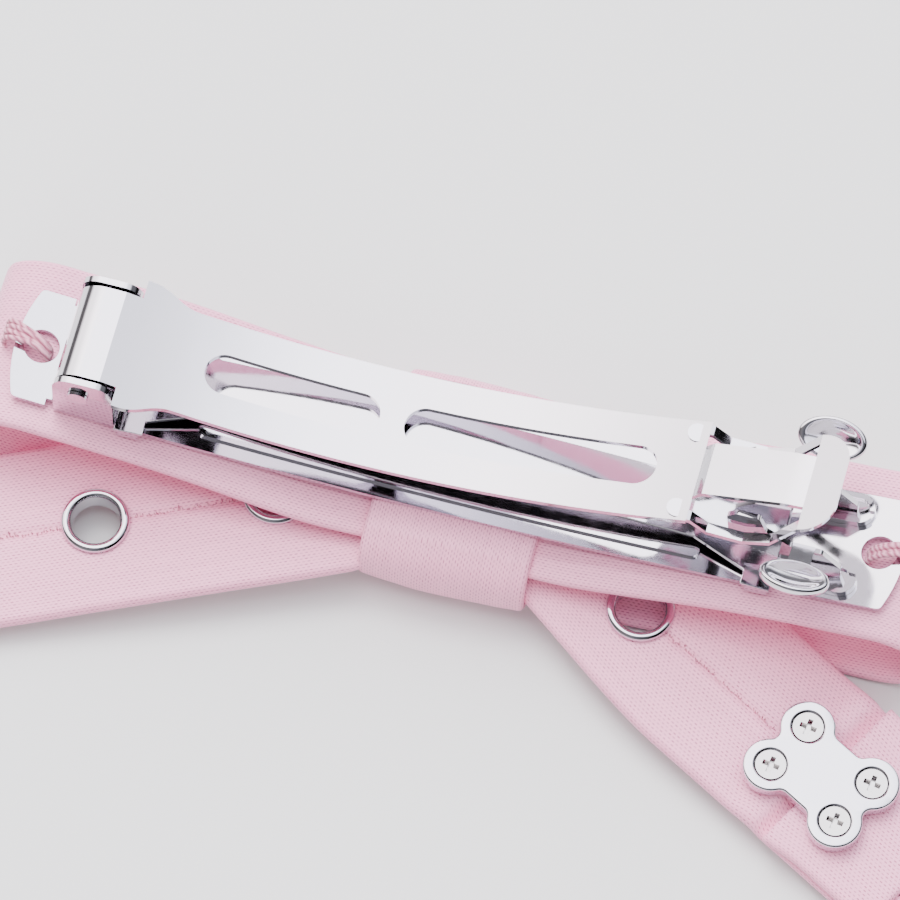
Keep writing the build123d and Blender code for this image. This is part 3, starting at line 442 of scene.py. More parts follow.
def ribbon_mesh(name: str, stations: Sequence[Station], closed: bool, ripple: Ripple,
                columns: int = 40) -> bpy.types.Mesh:
    """Builds a flattened tube of ribbon through its stations.

    Args:
        name: the mesh's name.
        stations: the cross-sections, in order.
        closed: True for a ring.
        ripple: height in mm added to a face, from distance along, place across from -1 to 1,
            and +1 for the upper or -1 for the lower face.
        columns: how many quads each face has across.

    Returns:
        A closed mesh in metres, with the UV map "ribbon_mm" in millimetres.
    """
    mesh = bmesh.new()
    layer = mesh.loops.layers.uv.new("ribbon_mm")
    rings: list[list[bmesh.types.BMVert]] = []
    run = [0.0]
    for p, q in zip(stations, stations[1:]):
        run.append(run[-1] + (q.centre - p.centre).length)
    total = run[-1]
    if closed:
        total += (stations[0].centre - stations[-1].centre).length
    # each point of the section: place across, which face, and how far it stands out
    outline: list[tuple[float, float, float]] = []
    for face_side in (1, -1):
        for i in range(columns + 1):
            outline.append((face_side * (-1 + 2 * i / columns), float(face_side), 0.0))
        for i in range(1, EDGE_STEPS):
            turn = math.pi * i / EDGE_STEPS
            outline.append((float(face_side), face_side * math.cos(turn), math.sin(turn)))
    first = stations[0]
    round_mm = [0.0]
    for (a0, _, _), (a1, _, _) in zip(outline, outline[1:]):
        flat = abs(a1 - a0) * (first.near + first.far) / 2
        round_mm.append(round_mm[-1] + (flat if flat else first.thick * EDGE_SHARE))
    round_mm.append(round_mm[-1] + first.thick * EDGE_SHARE)
    for along, station in zip(run, stations):
        ring = []
        radius = station.thick / 2
        for a, side, bulge in outline:
            reach = (station.far if a > 0 else station.near) - radius
            across = a * reach + (radius * bulge if a > 0 else -radius * bulge)
            lift = radius * side
            if abs(side) == 1.0:
                edge_fade = 1 - abs(a) ** EDGE_FADE
                lift += ripple(along, a, side) * edge_fade
            shift = ripple(along, a, 0.0)
            point = station.centre + station.across * across
            point = point + station.normal * (lift + shift)
            ring.append(mesh.verts.new(point * MM))
        rings.append(ring)
    around = len(outline)
    pairs = len(rings) if closed else len(rings) - 1
    for i in range(pairs):
        here = rings[i]
        there = rings[(i + 1) % len(rings)]
        u0 = run[i]
        u1 = run[i + 1] if i + 1 < len(run) else total
        for j in range(around):
            k = (j + 1) % around
            face = mesh.faces.new((here[j], here[k], there[k], there[j]))
            face.smooth = True
            corners = ((u0, round_mm[j]), (u0, round_mm[j + 1]),
                       (u1, round_mm[j + 1]), (u1, round_mm[j]))
            for loop, corner in zip(face.loops, corners):
                loop[layer].uv = corner
    if not closed:
        for ring, u in ((rings[0], 0.0), (rings[-1], run[-1])):
            for j in range(columns):
                a, b = ring[j], ring[j + 1]
                lower = 2 * columns + EDGE_STEPS - j
                c, d = ring[lower - 1], ring[lower]
                face = mesh.faces.new((a, b, c, d))
                for loop in face.loops:
                    loop[layer].uv = (u, round_mm[j])
            far_edge = [ring[i] for i in range(columns, columns + EDGE_STEPS + 1)]
            near_edge = [ring[i % around] for i in range(2 * columns + EDGE_STEPS, around + 1)]
            for edge in (far_edge, near_edge):
                face = mesh.faces.new(edge)
                for loop in face.loops:
                    loop[layer].uv = (u, 0.0)
    bmesh.ops.recalc_face_normals(mesh, faces=mesh.faces)
    if mesh.calc_volume(signed=True) < 0:
        bmesh.ops.reverse_faces(mesh, faces=mesh.faces)
    out = bpy.data.meshes.new(name)
    mesh.to_mesh(out)
    mesh.free()
    return out


def ring_normals(path: Sequence[Vector], across: Vector) -> list[Vector]:
    """Returns a unit normal for each point of a ring whose ribbon lies along `across`."""
    count = len(path)
    return [across.cross(path[(i + 1) % count] - path[i - 1]).normalized()
            for i in range(count)]


# ---------------------------------------------------------------- bow


@dataclass
class Loops:
    """Both loops of the bow: one ring of ribbon, in millimetres."""

    width: float = 16.2
    thick: float = 1.05
    near_shift: float = 0.5
    middle_shift: float = -0.4
    left_reach: float = 1.0
    right_reach: float = 1.7
    reach_span: tuple = (20.0, 38.0)
    shift_span: tuple = (8.0, 30.0)
    squeeze: float = 0.25
    squeeze_span: tuple = (6.0, 14.0)
    step: float = 0.55
    crown: float = 0.12
    fine_wave: tuple = (0.03, 5.0, 2.0)     # height, length along, waves across
    slow_wave: tuple = (0.16, 9.0, 0.8)
    wave_place: float = 3.1
    half_path: tuple = (
        (0.0, 1.65), (8.0, 1.62), (13.5, 1.05), (21.0, 0.62), (32.0, 0.60), (38.3, 0.78),
        (41.1, 2.3), (41.85, 5.0), (41.1, 7.75), (38.2, 9.15), (34.0, 8.85), (26.0, 8.0),
        (17.0, 6.98), (10.0, 6.25), (4.0, 6.02), (0.0, 6.0),
    )

    def build(self, satin: bpy.types.Material) -> None:
        """Builds the ring and puts it in place of its solid.

        Args:
            satin: the ribbon's finish.
        """
        right = [Vector((x + self.right_reach * smooth(*self.reach_span, x), 0, z))
                 for x, z in self.half_path]
        left = [
            Vector((-x - self.left_reach * smooth(*self.reach_span, x), 0, z))
            for x, z in reversed(self.half_path[1:-1])
        ]
        path = smooth_ring(right + left, self.step)
        across = Vector((0, 1, 0))
        normals = ring_normals(path, across)
        stations = []
        for point, normal in zip(path, normals):
            ends = smooth(*self.shift_span, abs(point.x))
            shift = self.middle_shift + (self.near_shift - self.middle_shift) * ends
            squeeze = self.squeeze * (1 - smooth(*self.squeeze_span, abs(point.x)))
            half = self.width / 2 - squeeze
            stations.append(Station(point, across, normal, half - shift, half + shift,
                                    self.thick))

        def ripple(along: float, a: float, side: float) -> float:
            """A soft crown on each face and slow waves that both faces share.

            Args:
                along: distance along the ribbon, in millimetres.
                a: place across, from -1 to 1.
                side: +1 for the upper face, -1 for the lower, 0 for both.

            Returns:
                The height added, in millimetres.
            """
            high, long, waves = self.fine_wave if side else self.slow_wave
            seat = side if side else self.wave_place
            wave = high * noise.noise(Vector((along / long, a * waves, seat)))
            return self.crown * (1 - a * a) + wave if side else wave

        mesh = ribbon_mesh("bow_loops_satin", stations, True, ripple)
        piece = new_piece("bow_loops_satin", mesh, satin)
        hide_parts("bow_loops")


@dataclass
class Wrap:
    """The band of ribbon round the middle of the bow, in millimetres."""

    thick: float = 1.0
    near_corner: float = 3.3
    far_corner: float = 2.5
    corner_steps: int = 5
    step: float = 0.5
    puff: float = 0.1
    edge_sink: float = 0.18
    crease: tuple = (0.07, 14.0, 3.2, 0.4)      # height, length along, waves across, place
    face_wave: tuple = (0.06, 4.0, 1.0, 8.0)

    def build(self, satin: bpy.types.Material) -> None:
        """Builds the wrap over its solid's own box.

        Args:
            satin: the ribbon's finish.
        """
        low, high = (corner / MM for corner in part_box("knot_wrap"))
        inset = self.thick / 2
        near_y, far_y = low.y + inset, high.y - inset
        low_z, high_z = low.z + inset, high.z - inset
        middle_x = (low.x + high.x) / 2
        corners = ((far_y, low_z, -90, self.far_corner), (far_y, high_z, 0, self.far_corner),
                   (near_y, high_z, 90, self.near_corner), (near_y, low_z, 180, self.near_corner))
        path = []
        for y, z, start, radius in corners:
            centre_y = y - radius if y > 0 else y + radius
            centre_z = z - radius if z > inset * 3 else z + radius
            for i in range(self.corner_steps + 1):
                turn = math.radians(start + 90 * i / self.corner_steps)
                path.append(Vector((middle_x, centre_y + radius * math.cos(turn),
                                    centre_z + radius * math.sin(turn))))
        path = smooth_ring(path, self.step)
        across = Vector((-1, 0, 0))
        normals = ring_normals(path, across)
        half = (high.x - low.x) / 2
        stations = [Station(p, across, n, half, half, self.thick)
                    for p, n in zip(path, normals)]

        def ripple(along: float, a: float, side: float) -> float:
            """Slight puffing, and creases that run round the knot.

            Args:
                along: distance round the band, in millimetres.
                a: place across, from -1 to 1.
                side: +1 for the outer face, -1 for the inner, 0 for both.

            Returns:
                The height added, in millimetres.
            """
            high, long, waves, seat = self.crease if side else self.face_wave
            wave = high * noise.noise(Vector((along / long, a * waves, seat)))
            if side:
                return self.puff * (1 - a * a) + wave
            return -self.edge_sink * abs(a) ** 3 + wave

        mesh = ribbon_mesh("knot_wrap_satin", stations, True, ripple)
        piece = new_piece("knot_wrap_satin", mesh, satin)
        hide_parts("knot_wrap")


@dataclass
class Tail:
    """One tail of ribbon with a butt seam down its back, in millimetres."""

    side: str
    sign: int
    angle: float
    length: float
    eyelets: tuple
    seam_end: float
    fold_at: float | None = None
    width: float = 16.2
    thick: float = 1.3
    root_y: float = 1.0
    root_z: float = 3.9
    slope: float = math.radians(3.47)
    knot_reach: float = 7.0
    fold_thick: float = 0.95
    groove: float = 0.34
    screw_places: tuple = ()
    knot_taper: float = 0.0
    taper_end: float = 30.0
    start: float = 0.3
    step: float = 0.5
    gather_length: float = 4.0
    gather_near: float = 0.95
    gather_far: float = 0.4
    under_fold: float = 1.85            # thickness just before the folded end
    under_span: tuple = (4.5, 2.5)      # before the fold's edge
    past_span: tuple = (1.6, 0.4)
    fold_gap: float = 0.06
    fold_reach: float = 1.3
    fold_steps: int = 8
    flare: float = 0.35
    flare_length: float = 4.0
    flare_inset: float = 0.1
    groove_half: float = 0.34
    pleat: tuple = (0.10, 9.0, 0.6)     # height, turns across, place
    pleat_length: float = 5.0
    crown: float = 0.14
    under_crown: float = 0.08
    fold_wave: tuple = (0.04, 3.0, 3.0, 2.2)    # height, length along, waves across, place
    slow_wave: tuple = (0.22, 11.0, 0.9, 5.0)
    wave_span: tuple = (4.0, 14.0)
    calm_span: tuple = (12.0, 7.0)      # before the fold's edge
    fold_calm: float = 6.0
    columns: int = 44
    eyelet_hole: float = 2.5
    screw_hole: float = 0.72
    hole_segments: int = 48
    cutter_depth: float = 8.0
    cutter_lift: float = 1.0
    seam_gap: float = 3.15
    seam_start: float = 1.0
    shortest_seam: float = 0.5

    def place(self, along: float, across: float = 0.0, lift: float = 0.0) -> Vector:
        """Places a point on the tail.

        Args:
            along: distance out from the root, in millimetres.
            across: distance across the tail from its middle.
            lift: height above its lower face.

        Returns:
            The point, in millimetres.
        """
        x_dir, y_dir, z_dir = self.axes()
        root = Vector((0, self.root_y, self.root_z))
        return root + x_dir * along + y_dir * across + z_dir * lift

    def axes(self) -> tuple[Vector, Vector, Vector]:
        """Works out the way the tail lies.

        Returns:
            The tail's directions: along, across and up.
        """
        turn = math.radians(self.angle)
        out = Vector((self.sign * math.cos(turn), -math.sin(turn), 0))
        x_dir = out * math.cos(self.slope) - Vector((0, 0, math.sin(self.slope)))
        z_dir = out * math.sin(self.slope) + Vector((0, 0, math.cos(self.slope)))
        return x_dir, z_dir.cross(x_dir), z_dir

    def route(self) -> list[tuple[float, float, float, float]]:
        """Lists the ribbon's stations, out along the tail and back over the fold.

        Returns:
            Distance along, lift of the middle, thickness and direction for each station.
        """
        rows = []
        count = round((self.length - self.start) / self.step)
        for i in range(count + 1):
            s = self.start + (self.length - self.start) * i / count
            thick = self.thick
            if self.fold_at is not None:
                under = smooth(*(self.fold_at - gap for gap in self.under_span), s)
                past = smooth(*(self.fold_at - gap for gap in self.past_span), s)
                thick += (self.under_fold - thick) * under
                thick += (self.fold_thick - thick) * past
            rows.append((s, thick / 2, thick, 0.0))
        if self.fold_at is None:
            return rows
        bend = self.fold_thick / 2 + self.fold_gap
        for i in range(1, self.fold_steps):
            turn = math.pi * i / self.fold_steps
            rows.append((self.length + bend * math.sin(turn) * self.fold_reach,
                         self.fold_thick / 2 + bend * (1 - math.cos(turn)),
                         self.fold_thick, turn))
        count = round((self.length - self.fold_at) / self.step)
        for i in range(count + 1):
            s = self.length - (self.length - self.fold_at) * i / count
            rows.append((s, self.fold_thick / 2 + 2 * bend, self.fold_thick, math.pi))
        return rows

    def build(self, satin: bpy.types.Material) -> bpy.types.Object:
        """Builds the tail, cuts its eyelet and screw holes and replaces its solid.

        Args:
            satin: the ribbon's finish.

        Returns:
            The tail's object.
        """
        x_dir, y_dir, z_dir = self.axes()
        stations = []
        for along, lift, thick, turn in self.route():
            gather = 1 - smooth(self.knot_reach, self.knot_reach + self.gather_length, along)
            narrow = self.knot_taper * (1 - smooth(self.knot_reach, self.taper_end, along))
            near = self.width / 2 - self.gather_near * gather - narrow
            far = self.width / 2 - self.gather_far * gather
            if turn:
                flare = self.flare * smooth(self.fold_at + self.flare_length, self.fold_at, along)
                near, far = near + flare - self.flare_inset, far + flare - self.flare_inset
            normal = z_dir * math.cos(turn) + x_dir * math.sin(turn)
            centre = self.place(along, 0.0, lift)
            # a section's + side is the tail's own +y: near on the left tail, far on the right
            plus, minus = (near, far) if self.sign < 0 else (far, near)
            stations.append(Station(centre, y_dir, normal, minus, plus, thick))
        total = self.length

        def wave(rule: tuple, along: float, a: float, shift: float = 0.0) -> float:
            """Returns the height of a soft wave."""
            high, long, waves, seat = rule
            return high * noise.noise(Vector((along / long, a * waves, seat + shift)))

        def ripple(along: float, a: float, side: float) -> float:
            """Gathers by the knot, a soft crown, and the groove of the butt seam.

            Args:
                along: distance along the tail, in millimetres.
                a: place across, from -1 to 1.
                side: +1 for the upper face, -1 for the lower, 0 for both.

            Returns:
                The height added, in millimetres.
            """
            if side > 0:
                if self.fold_at and along > self.fold_at - self.fold_calm:
                    return wave(self.fold_wave, along, a)
                gather = math.exp(-max(0.0, along - self.knot_reach) / self.pleat_length)
                high, turns, seat = self.pleat
                seam = -self.groove * math.exp(-((a * self.width / 2) / self.groove_half) ** 2)
                pleat = high * gather * math.sin(a * turns + seat)
                return seam + pleat + self.crown * (1 - a * a)
            if side < 0:
                return self.under_crown * (1 - a * a)
            calm = smooth(*self.wave_span, along) * (1 - smooth(total, total + 1, along))
            if self.fold_at:
                calm *= 1 - smooth(*(self.fold_at - gap for gap in self.calm_span), along)
            return calm * wave(self.slow_wave, along, a, self.sign)

        mesh = ribbon_mesh(self.side + "_tail_ribbon", stations, False, ripple,
                           self.columns)
        raw = bpy.data.objects.new("raw_" + self.side, mesh)
        bpy.context.scene.collection.objects.link(raw)
        cutters = [(s, 0.0, self.eyelet_hole) for s in self.eyelets]
        cutters += [(s, y, self.screw_hole) for s, y in self.screw_places]
        made = []
        for s, y, radius in cutters:
            made.append(self.cutter(s, y, radius))
            hole = raw.modifiers.new("hole", "BOOLEAN")
            hole.operation = "DIFFERENCE"
            hole.solver = "EXACT"
            hole.use_self = True
            hole.object = made[-1]
        cut = plain_mesh(raw, self.side + "_tail_satin")
        for spare in (raw, *made):
            bpy.data.objects.remove(spare)
        piece = new_piece(self.side + "_tail_satin", cut, satin)
        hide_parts(self.side + "_tail")
        return piece

    def cutter(self, along: float, across: float, radius: float) -> bpy.types.Object:
        """Makes a round cutter that stands through the ribbon.

        Args:
            along: distance out from the root, in millimetres.
            across: distance across from the tail's middle.
            radius: the hole's radius.

        Returns:
            The cutter, hidden from renders.
        """
        mesh = bmesh.new()
        x_dir, y_dir, z_dir = self.axes()
        bmesh.ops.create_cone(mesh, cap_ends=True, segments=self.hole_segments,
                              radius1=radius * MM, radius2=radius * MM,
                              depth=self.cutter_depth * MM)
        turn = Matrix((x_dir, y_dir, z_dir)).transposed().to_4x4()
        move = Matrix.Translation(self.place(along, across, self.cutter_lift) * MM)
        mesh.transform(move @ turn)
        data = bpy.data.meshes.new("cutter")
        mesh.to_mesh(data)
        mesh.free()
        cutter = bpy.data.objects.new("cutter", data)
        bpy.context.scene.collection.objects.link(cutter)
        cutter.hide_render = True
        return cutter

    def seam_spans(self) -> list[tuple[float, float]]:
        """Lists the stretches of seam between the knot, the eyelets and the end.

        Returns:
            The start and end of each stretch along the tail, in millimetres.
        """
        edges = [self.knot_reach + self.seam_start]
        for s in self.eyelets:
            edges += [s - self.seam_gap, s + self.seam_gap]
        edges.append(self.seam_end)
        return [(a, b) for a, b in zip(edges[::2], edges[1::2])
                if b - a > self.shortest_seam]


@dataclass
class SeamStitches:
    """The picked-up edge of a butt seam: short loops of thread along the groove."""

    pitch_mm: float = 0.27
    fibre_mm: float = 0.78
    fibre_radius_mm: float = 0.055
    smallest: float = 0.75
    largest: float = 1.3
    sides: int = 6
    joints: int = 2
    turn_low: tuple = (1.2, -0.35, -0.5)
    turn_high: tuple = (1.75, 0.35, 0.5)
    stray_low_m: tuple = (-0.00009, -0.00009, -0.00003)
    stray_high_m: tuple = (0.00009, 0.00009, 0.00005)
    line_step_mm: float = 0.6
    line_sway_mm: float = 0.05
    line_turns: float = 1.7
    ray_lift_mm: float = 2.5
    seat_mm: float = 0.05

    def tree(self, material: bpy.types.Material) -> bpy.types.NodeTree:
        """Builds the node tree that lays short threads along a curve.

        Args:
            material: the thread's finish.

        Returns:
            A Geometry Nodes tree with its sizes as inputs.
        """
        tree = bpy.data.node_groups.new("seam_stitches", "GeometryNodeTree")
        face = tree.interface
        face.new_socket("Geometry", in_out="INPUT", socket_type="NodeSocketGeometry")
        for label, value in (("Pitch", self.pitch_mm), ("Length", self.fibre_mm),
                             ("Radius", self.fibre_radius_mm), ("Smallest", self.smallest)):
            socket = face.new_socket(label, in_out="INPUT", socket_type="NodeSocketFloat")
            socket.default_value = value
        face.new_socket("Seed", in_out="INPUT", socket_type="NodeSocketInt")
        face.new_socket("Geometry", in_out="OUTPUT", socket_type="NodeSocketGeometry")
        source = add_node(tree, "NodeGroupInput")
        scale = [
            add_node(tree, "ShaderNodeMath", {0: source.outputs[name], 1: MM},
                     operation="MULTIPLY").outputs[0]
            for name in ("Pitch", "Length", "Radius")
        ]
        points = add_node(
            tree, "GeometryNodeCurveToPoints",
            {"Curve": source.outputs["Geometry"], "Length": scale[0]}, mode="LENGTH",
        )
        fibre = add_node(
            tree, "GeometryNodeMeshCylinder",
            {"Vertices": self.sides, "Side Segments": self.joints, "Radius": scale[2],
             "Depth": scale[1]},
        )
        turn = add_node(
            tree, "FunctionNodeRandomValue",
            {0: self.turn_low, 1: self.turn_high, "Seed": source.outputs["Seed"]},
            data_type="FLOAT_VECTOR",
        )
        size = add_node(
            tree, "FunctionNodeRandomValue",
            {2: source.outputs["Smallest"], 3: self.largest, "Seed": source.outputs["Seed"]},
            data_type="FLOAT",
        )
        jitter = add_node(
            tree, "FunctionNodeRandomValue",
            {0: self.stray_low_m, 1: self.stray_high_m, "Seed": source.outputs["Seed"]},
            data_type="FLOAT_VECTOR",
        )
        turned = add_node(
            tree, "FunctionNodeRotateEuler",
            {0: turn.outputs[0], 1: points.outputs["Rotation"]}, space="OBJECT",
        )
        shifted = add_node(
            tree, "GeometryNodeSetPosition",
            {"Geometry": points.outputs[0], "Offset": jitter.outputs[0]},
        )
        laid = add_node(
            tree, "GeometryNodeInstanceOnPoints",
            {"Points": shifted.outputs[0], "Instance": fibre.outputs[0],
             "Rotation": turned.outputs[0], "Scale": size.outputs[1]},
        )
        real = add_node(tree, "GeometryNodeRealizeInstances", {0: laid.outputs[0]})
        dressed = add_node(
            tree, "GeometryNodeSetMaterial", {0: real.outputs[0], "Material": material}
        )
        sink = add_node(tree, "NodeGroupOutput")
        tree.links.new(dressed.outputs[0], sink.inputs[0])
        return tree

    def build(self, tail: Tail, thread: bpy.types.Material, satin_piece: bpy.types.Object,
              seed: int) -> None:
        """Lays the seam along a tail and replaces its solid.

        Args:
            tail: the tail that the seam runs down.
            thread: the thread's finish.
            satin_piece: the tail's ribbon, whose surface the seam lies on.
            seed: the number that sets the random turns and sizes.
        """
        name = tail.side + "_tail_seam"
        curve = bpy.data.curves.new(name, "CURVE")
        curve.dimensions = "3D"
        up = tail.axes()[2]
        for start, end in tail.seam_spans():
            count = max(2, round((end - start) / self.line_step_mm))
            spline = curve.splines.new("POLY")
            spline.points.add(count)
            for i in range(count + 1):
                s = start + (end - start) * i / count
                sway = self.line_sway_mm * math.sin(s * self.line_turns)
                above = tail.place(s, sway, tail.thick + self.ray_lift_mm) * MM
                hit, spot, _, _ = satin_piece.ray_cast(above, -up)
                missed = tail.place(s, 0, tail.thick) * MM
                point = spot + up * self.seat_mm * MM if hit else missed
                spline.points[i].co = (*point, 1.0)
        line = bpy.data.objects.new(name + "_line", curve)
        bpy.context.scene.collection.objects.link(line)
        modifier = line.modifiers.new("stitches", "NODES")
        modifier.node_group = self.tree(thread)
        for item in modifier.node_group.interface.items_tree:
            if item.in_out == "INPUT" and item.name == "Seed":
                modifier[item.identifier] = seed
        mesh = plain_mesh(line, name + "_stitches")
        bpy.data.objects.remove(line)
        piece = new_piece(name + "_stitches", mesh, thread)
        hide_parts(name)


@dataclass
class SewingThreads:
    """Bundles of thread from each sewing hole over the end of the base, in millimetres."""

    strands: int = 5
    radius: float = 0.23
    spread: float = 1.35
    hole_y: tuple = (0.25, 0.75)        # middle, and share of the spread
    out_y: tuple = (0.35, 1.05)
    wobble: tuple = (0.18, 2.3)         # height, and turn from strand to strand
    lift: tuple = (0.14, 1.9)
    # out past the base's end, the share of hole_y and of out_y, what is added, height from
    # the top, and the share of the strand's own lift
    stops: tuple = (
        (-3.0, 1.0, 0.0, -0.9, -2.2, 0.0), (-3.3, 1.0, 0.0, -0.8, -1.3, 0.0),
        (-2.9, 1.0, 0.0, -0.6, -0.55, 1.0), (-1.6, 1.0, 0.0, -0.1, -0.1, 1.0),
        (-0.3, 0.5, 0.5, 0.1, 0.0, 1.0), (0.8, 0.0, 1.0, 0.35, -0.35, 1.0),
        (1.25, 0.0, 1.0, 0.4, -1.0, 0.0), (1.1, 0.0, 0.9, 0.3, -2.0, 0.0),
    )

    def build(self, sign: int, thread: bpy.types.Material) -> None:
        """Builds one bundle and replaces its solid.

        Args:
            sign: -1 for the hinge end and +1 for the catch end.
            thread: the thread's finish.
        """
        side = "left" if sign < 0 else "right"
        end_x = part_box("base_plate")[1].x / MM
        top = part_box(side + "_sewing_thread")[1].z / MM
        curve = bpy.data.curves.new(side + "_threads", "CURVE")
        curve.dimensions = "3D"
        curve.bevel_depth = self.radius * MM
        curve.bevel_resolution = 3
        curve.use_fill_caps = True
        for i in range(self.strands):
            share = (i / (self.strands - 1) - 0.5) * self.spread
            hole_y = self.hole_y[0] + share * self.hole_y[1]
            wobble = self.wobble[0] * math.sin(self.wobble[1] * i + sign)
            out_y = self.out_y[0] + share * self.out_y[1] + wobble
            lift = self.lift[0] * math.cos(self.lift[1] * i)
            points = [(end_x + past, hole_y * hole + out_y * out + more, top + rise + lift * own)
                      for past, hole, out, more, rise, own in self.stops]
            spline = curve.splines.new("NURBS")
            spline.points.add(len(points) - 1)
            for point, (x, y, z) in zip(spline.points, points):
                point.co = (sign * x * MM, y * MM, z * MM, 1.0)
            spline.order_u = 4
            spline.use_endpoint_u = True
            spline.resolution_u = 6
        line = bpy.data.objects.new(side + "_threads_line", curve)
        bpy.context.scene.collection.objects.link(line)
        mesh = plain_mesh(line, side + "_sewing_threads")
        bpy.data.objects.remove(line)
        piece = new_piece(side + "_sewing_threads", mesh, thread)
        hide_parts(side + "_sewing_thread")


PLATE_ALONG = 42.9
PLATE_ACROSS = -0.9
SCREW_ALONG = 3.75
SCREW_ACROSS = 2.4


@dataclass
class Bow:
    """The bow: loops, wrap, tails, seams and the threads that hold the barrette."""

    loops: Loops = field(default_factory=Loops)
    wrap: Wrap = field(default_factory=Wrap)
    left: Tail = field(default_factory=lambda: Tail(
        side="left", sign=-1, angle=23.5, length=57.0, eyelets=(16.3, 32.3, 48.3),
        seam_end=56.6))
    right: Tail = field(default_factory=lambda: Tail(
        side="right", sign=1, angle=28.0, length=54.5, eyelets=(20.9,), seam_end=36.6,
        fold_at=PLATE_ALONG, root_y=2.0, knot_taper=2.2, screw_places=tuple(
            (PLATE_ALONG + a * SCREW_ALONG, b * SCREW_ACROSS + PLATE_ACROSS)
            for a in (-1, 1) for b in (-1, 1))))
    stitches: SeamStitches = field(default_factory=SeamStitches)
    threads: SewingThreads = field(default_factory=SewingThreads)

    def build(self, satin: bpy.types.Material, thread: bpy.types.Material) -> None:
        """Builds every soft piece of the bow.

        Args:
            satin: the ribbon's finish.
            thread: the thread's finish.
        """
        self.loops.build(satin)
        self.wrap.build(satin)
        for number, tail in enumerate((self.left, self.right)):
            ribbon = tail.build(satin)
            self.stitches.build(tail, thread, ribbon, SEED + number)
        for sign in (-1, 1):
            self.threads.build(sign, thread)


# ---------------------------------------------------------------- metalwork


@dataclass(frozen=True)
class Arc:
    """An arc in the XZ plane that a sheet of metal follows, in millimetres."""

    centre_x: float
    centre_z: float
    x_from: float = -1000.0
    x_to: float = 1000.0

    def direction(self, spot: Vector) -> Vector:
        """Returns the unit vector from a point in metres to the arc's centre."""
        return Vector((self.centre_x - spot.x / MM, 0, self.centre_z - spot.z / MM)).normalized()


@dataclass
class FingerPads:
    """The dished shells of the catch's finger pads, in millimetres."""

    half_length: float = 2.98
    half_width: float = 1.83
    inset: float = 8.4
    offset: float = 6.8
    neck_half: float = 2.0
    tilt: float = math.radians(25.0)
    steps: int = 56
    # how far out, as a share of the ellipse, and how high above the pad's middle plane
    profile: tuple = (
        (0.0, 0.10), (0.2, 0.11), (0.4, 0.15), (0.58, 0.22), (0.72, 0.32), (0.82, 0.39),
        (0.90, 0.43), (0.96, 0.42), (1.01, 0.34), (1.03, 0.20), (1.035, 0.0), (1.03, -0.18),
        (1.0, -0.34), (0.9, -0.45), (0.7, -0.51), (0.4, -0.55), (0.0, -0.57),
    )

    def build(self, nickel: bpy.types.Material) -> None:
        """Builds both shells round the wings' flat pads.

        Args:
            nickel: the metal's finish.
        """
        for sign, body in ((-1, Body.NEAR_WING), (1, Body.FAR_WING)):
            side = "near" if sign < 0 else "far"
            middle = self.middle(side, sign)
            out = Vector((0, -sign * math.sin(self.tilt), math.cos(self.tilt)))
            mesh = self.shell(middle, Vector((1, 0, 0)), out.cross(Vector((1, 0, 0))), out)
            new_piece(side + "_finger_pad_dish", mesh, nickel, body)
            log.info("%s pad: middle at z %.2f mm", side, middle.z)

    def middle(self, side: str, sign: int) -> Vector:
        """Finds a pad's middle, its height taken from the wing clear of the neck.

        Args:
            side: "near" or "far".
            sign: -1 for near and +1 for far.

        Returns:
            The middle, in millimetres.
        """
        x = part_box("base_plate")[1].x / MM - self.inset
        inner = (self.offset - self.half_width) * MM
        spots = [v.co.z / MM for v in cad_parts[side + "_catch_wing"].data.vertices
                 if abs(v.co.y) > inner and abs(v.co.x / MM - x) > self.neck_half]
        return Vector((x, sign * self.offset, (min(spots) + max(spots)) / 2))

    def shell(self, middle: Vector, long: Vector, up: Vector, out: Vector) -> bpy.types.Mesh:
        """Turns the profile into a closed elliptical shell.

        Args:
            middle: the pad's middle, in millimetres.
            long: the direction of the ellipse's long half.
            up: the direction of its short half.
            out: the way that the dish faces.

        Returns:
            The shell's mesh, in metres.
        """
        mesh = bmesh.new()
        rings = []
        for t, height in self.profile:
            if t == 0.0:
                rings.append([mesh.verts.new((middle + out * height) * MM)])
                continue
            ring = []
            for i in range(self.steps):
                turn = 2 * math.pi * i / self.steps
                spot = (middle + long * self.half_length * t * math.cos(turn)
                        + up * self.half_width * t * math.sin(turn) + out * height)
                ring.append(mesh.verts.new(spot * MM))
            rings.append(ring)
        for a, b in zip(rings, rings[1:]):
            for i in range(self.steps):
                j = (i + 1) % self.steps
                if len(a) == 1:
                    face = mesh.faces.new((a[0], b[i], b[j]))
                elif len(b) == 1:
                    face = mesh.faces.new((a[i], a[j], b[0]))
                else:
                    face = mesh.faces.new((a[i], b[i], b[j], a[j]))
                face.smooth = True
        bmesh.ops.recalc_face_normals(mesh, faces=mesh.faces)
        data = bpy.data.meshes.new("finger_pad")
        mesh.to_mesh(data)
        mesh.free()
        return data


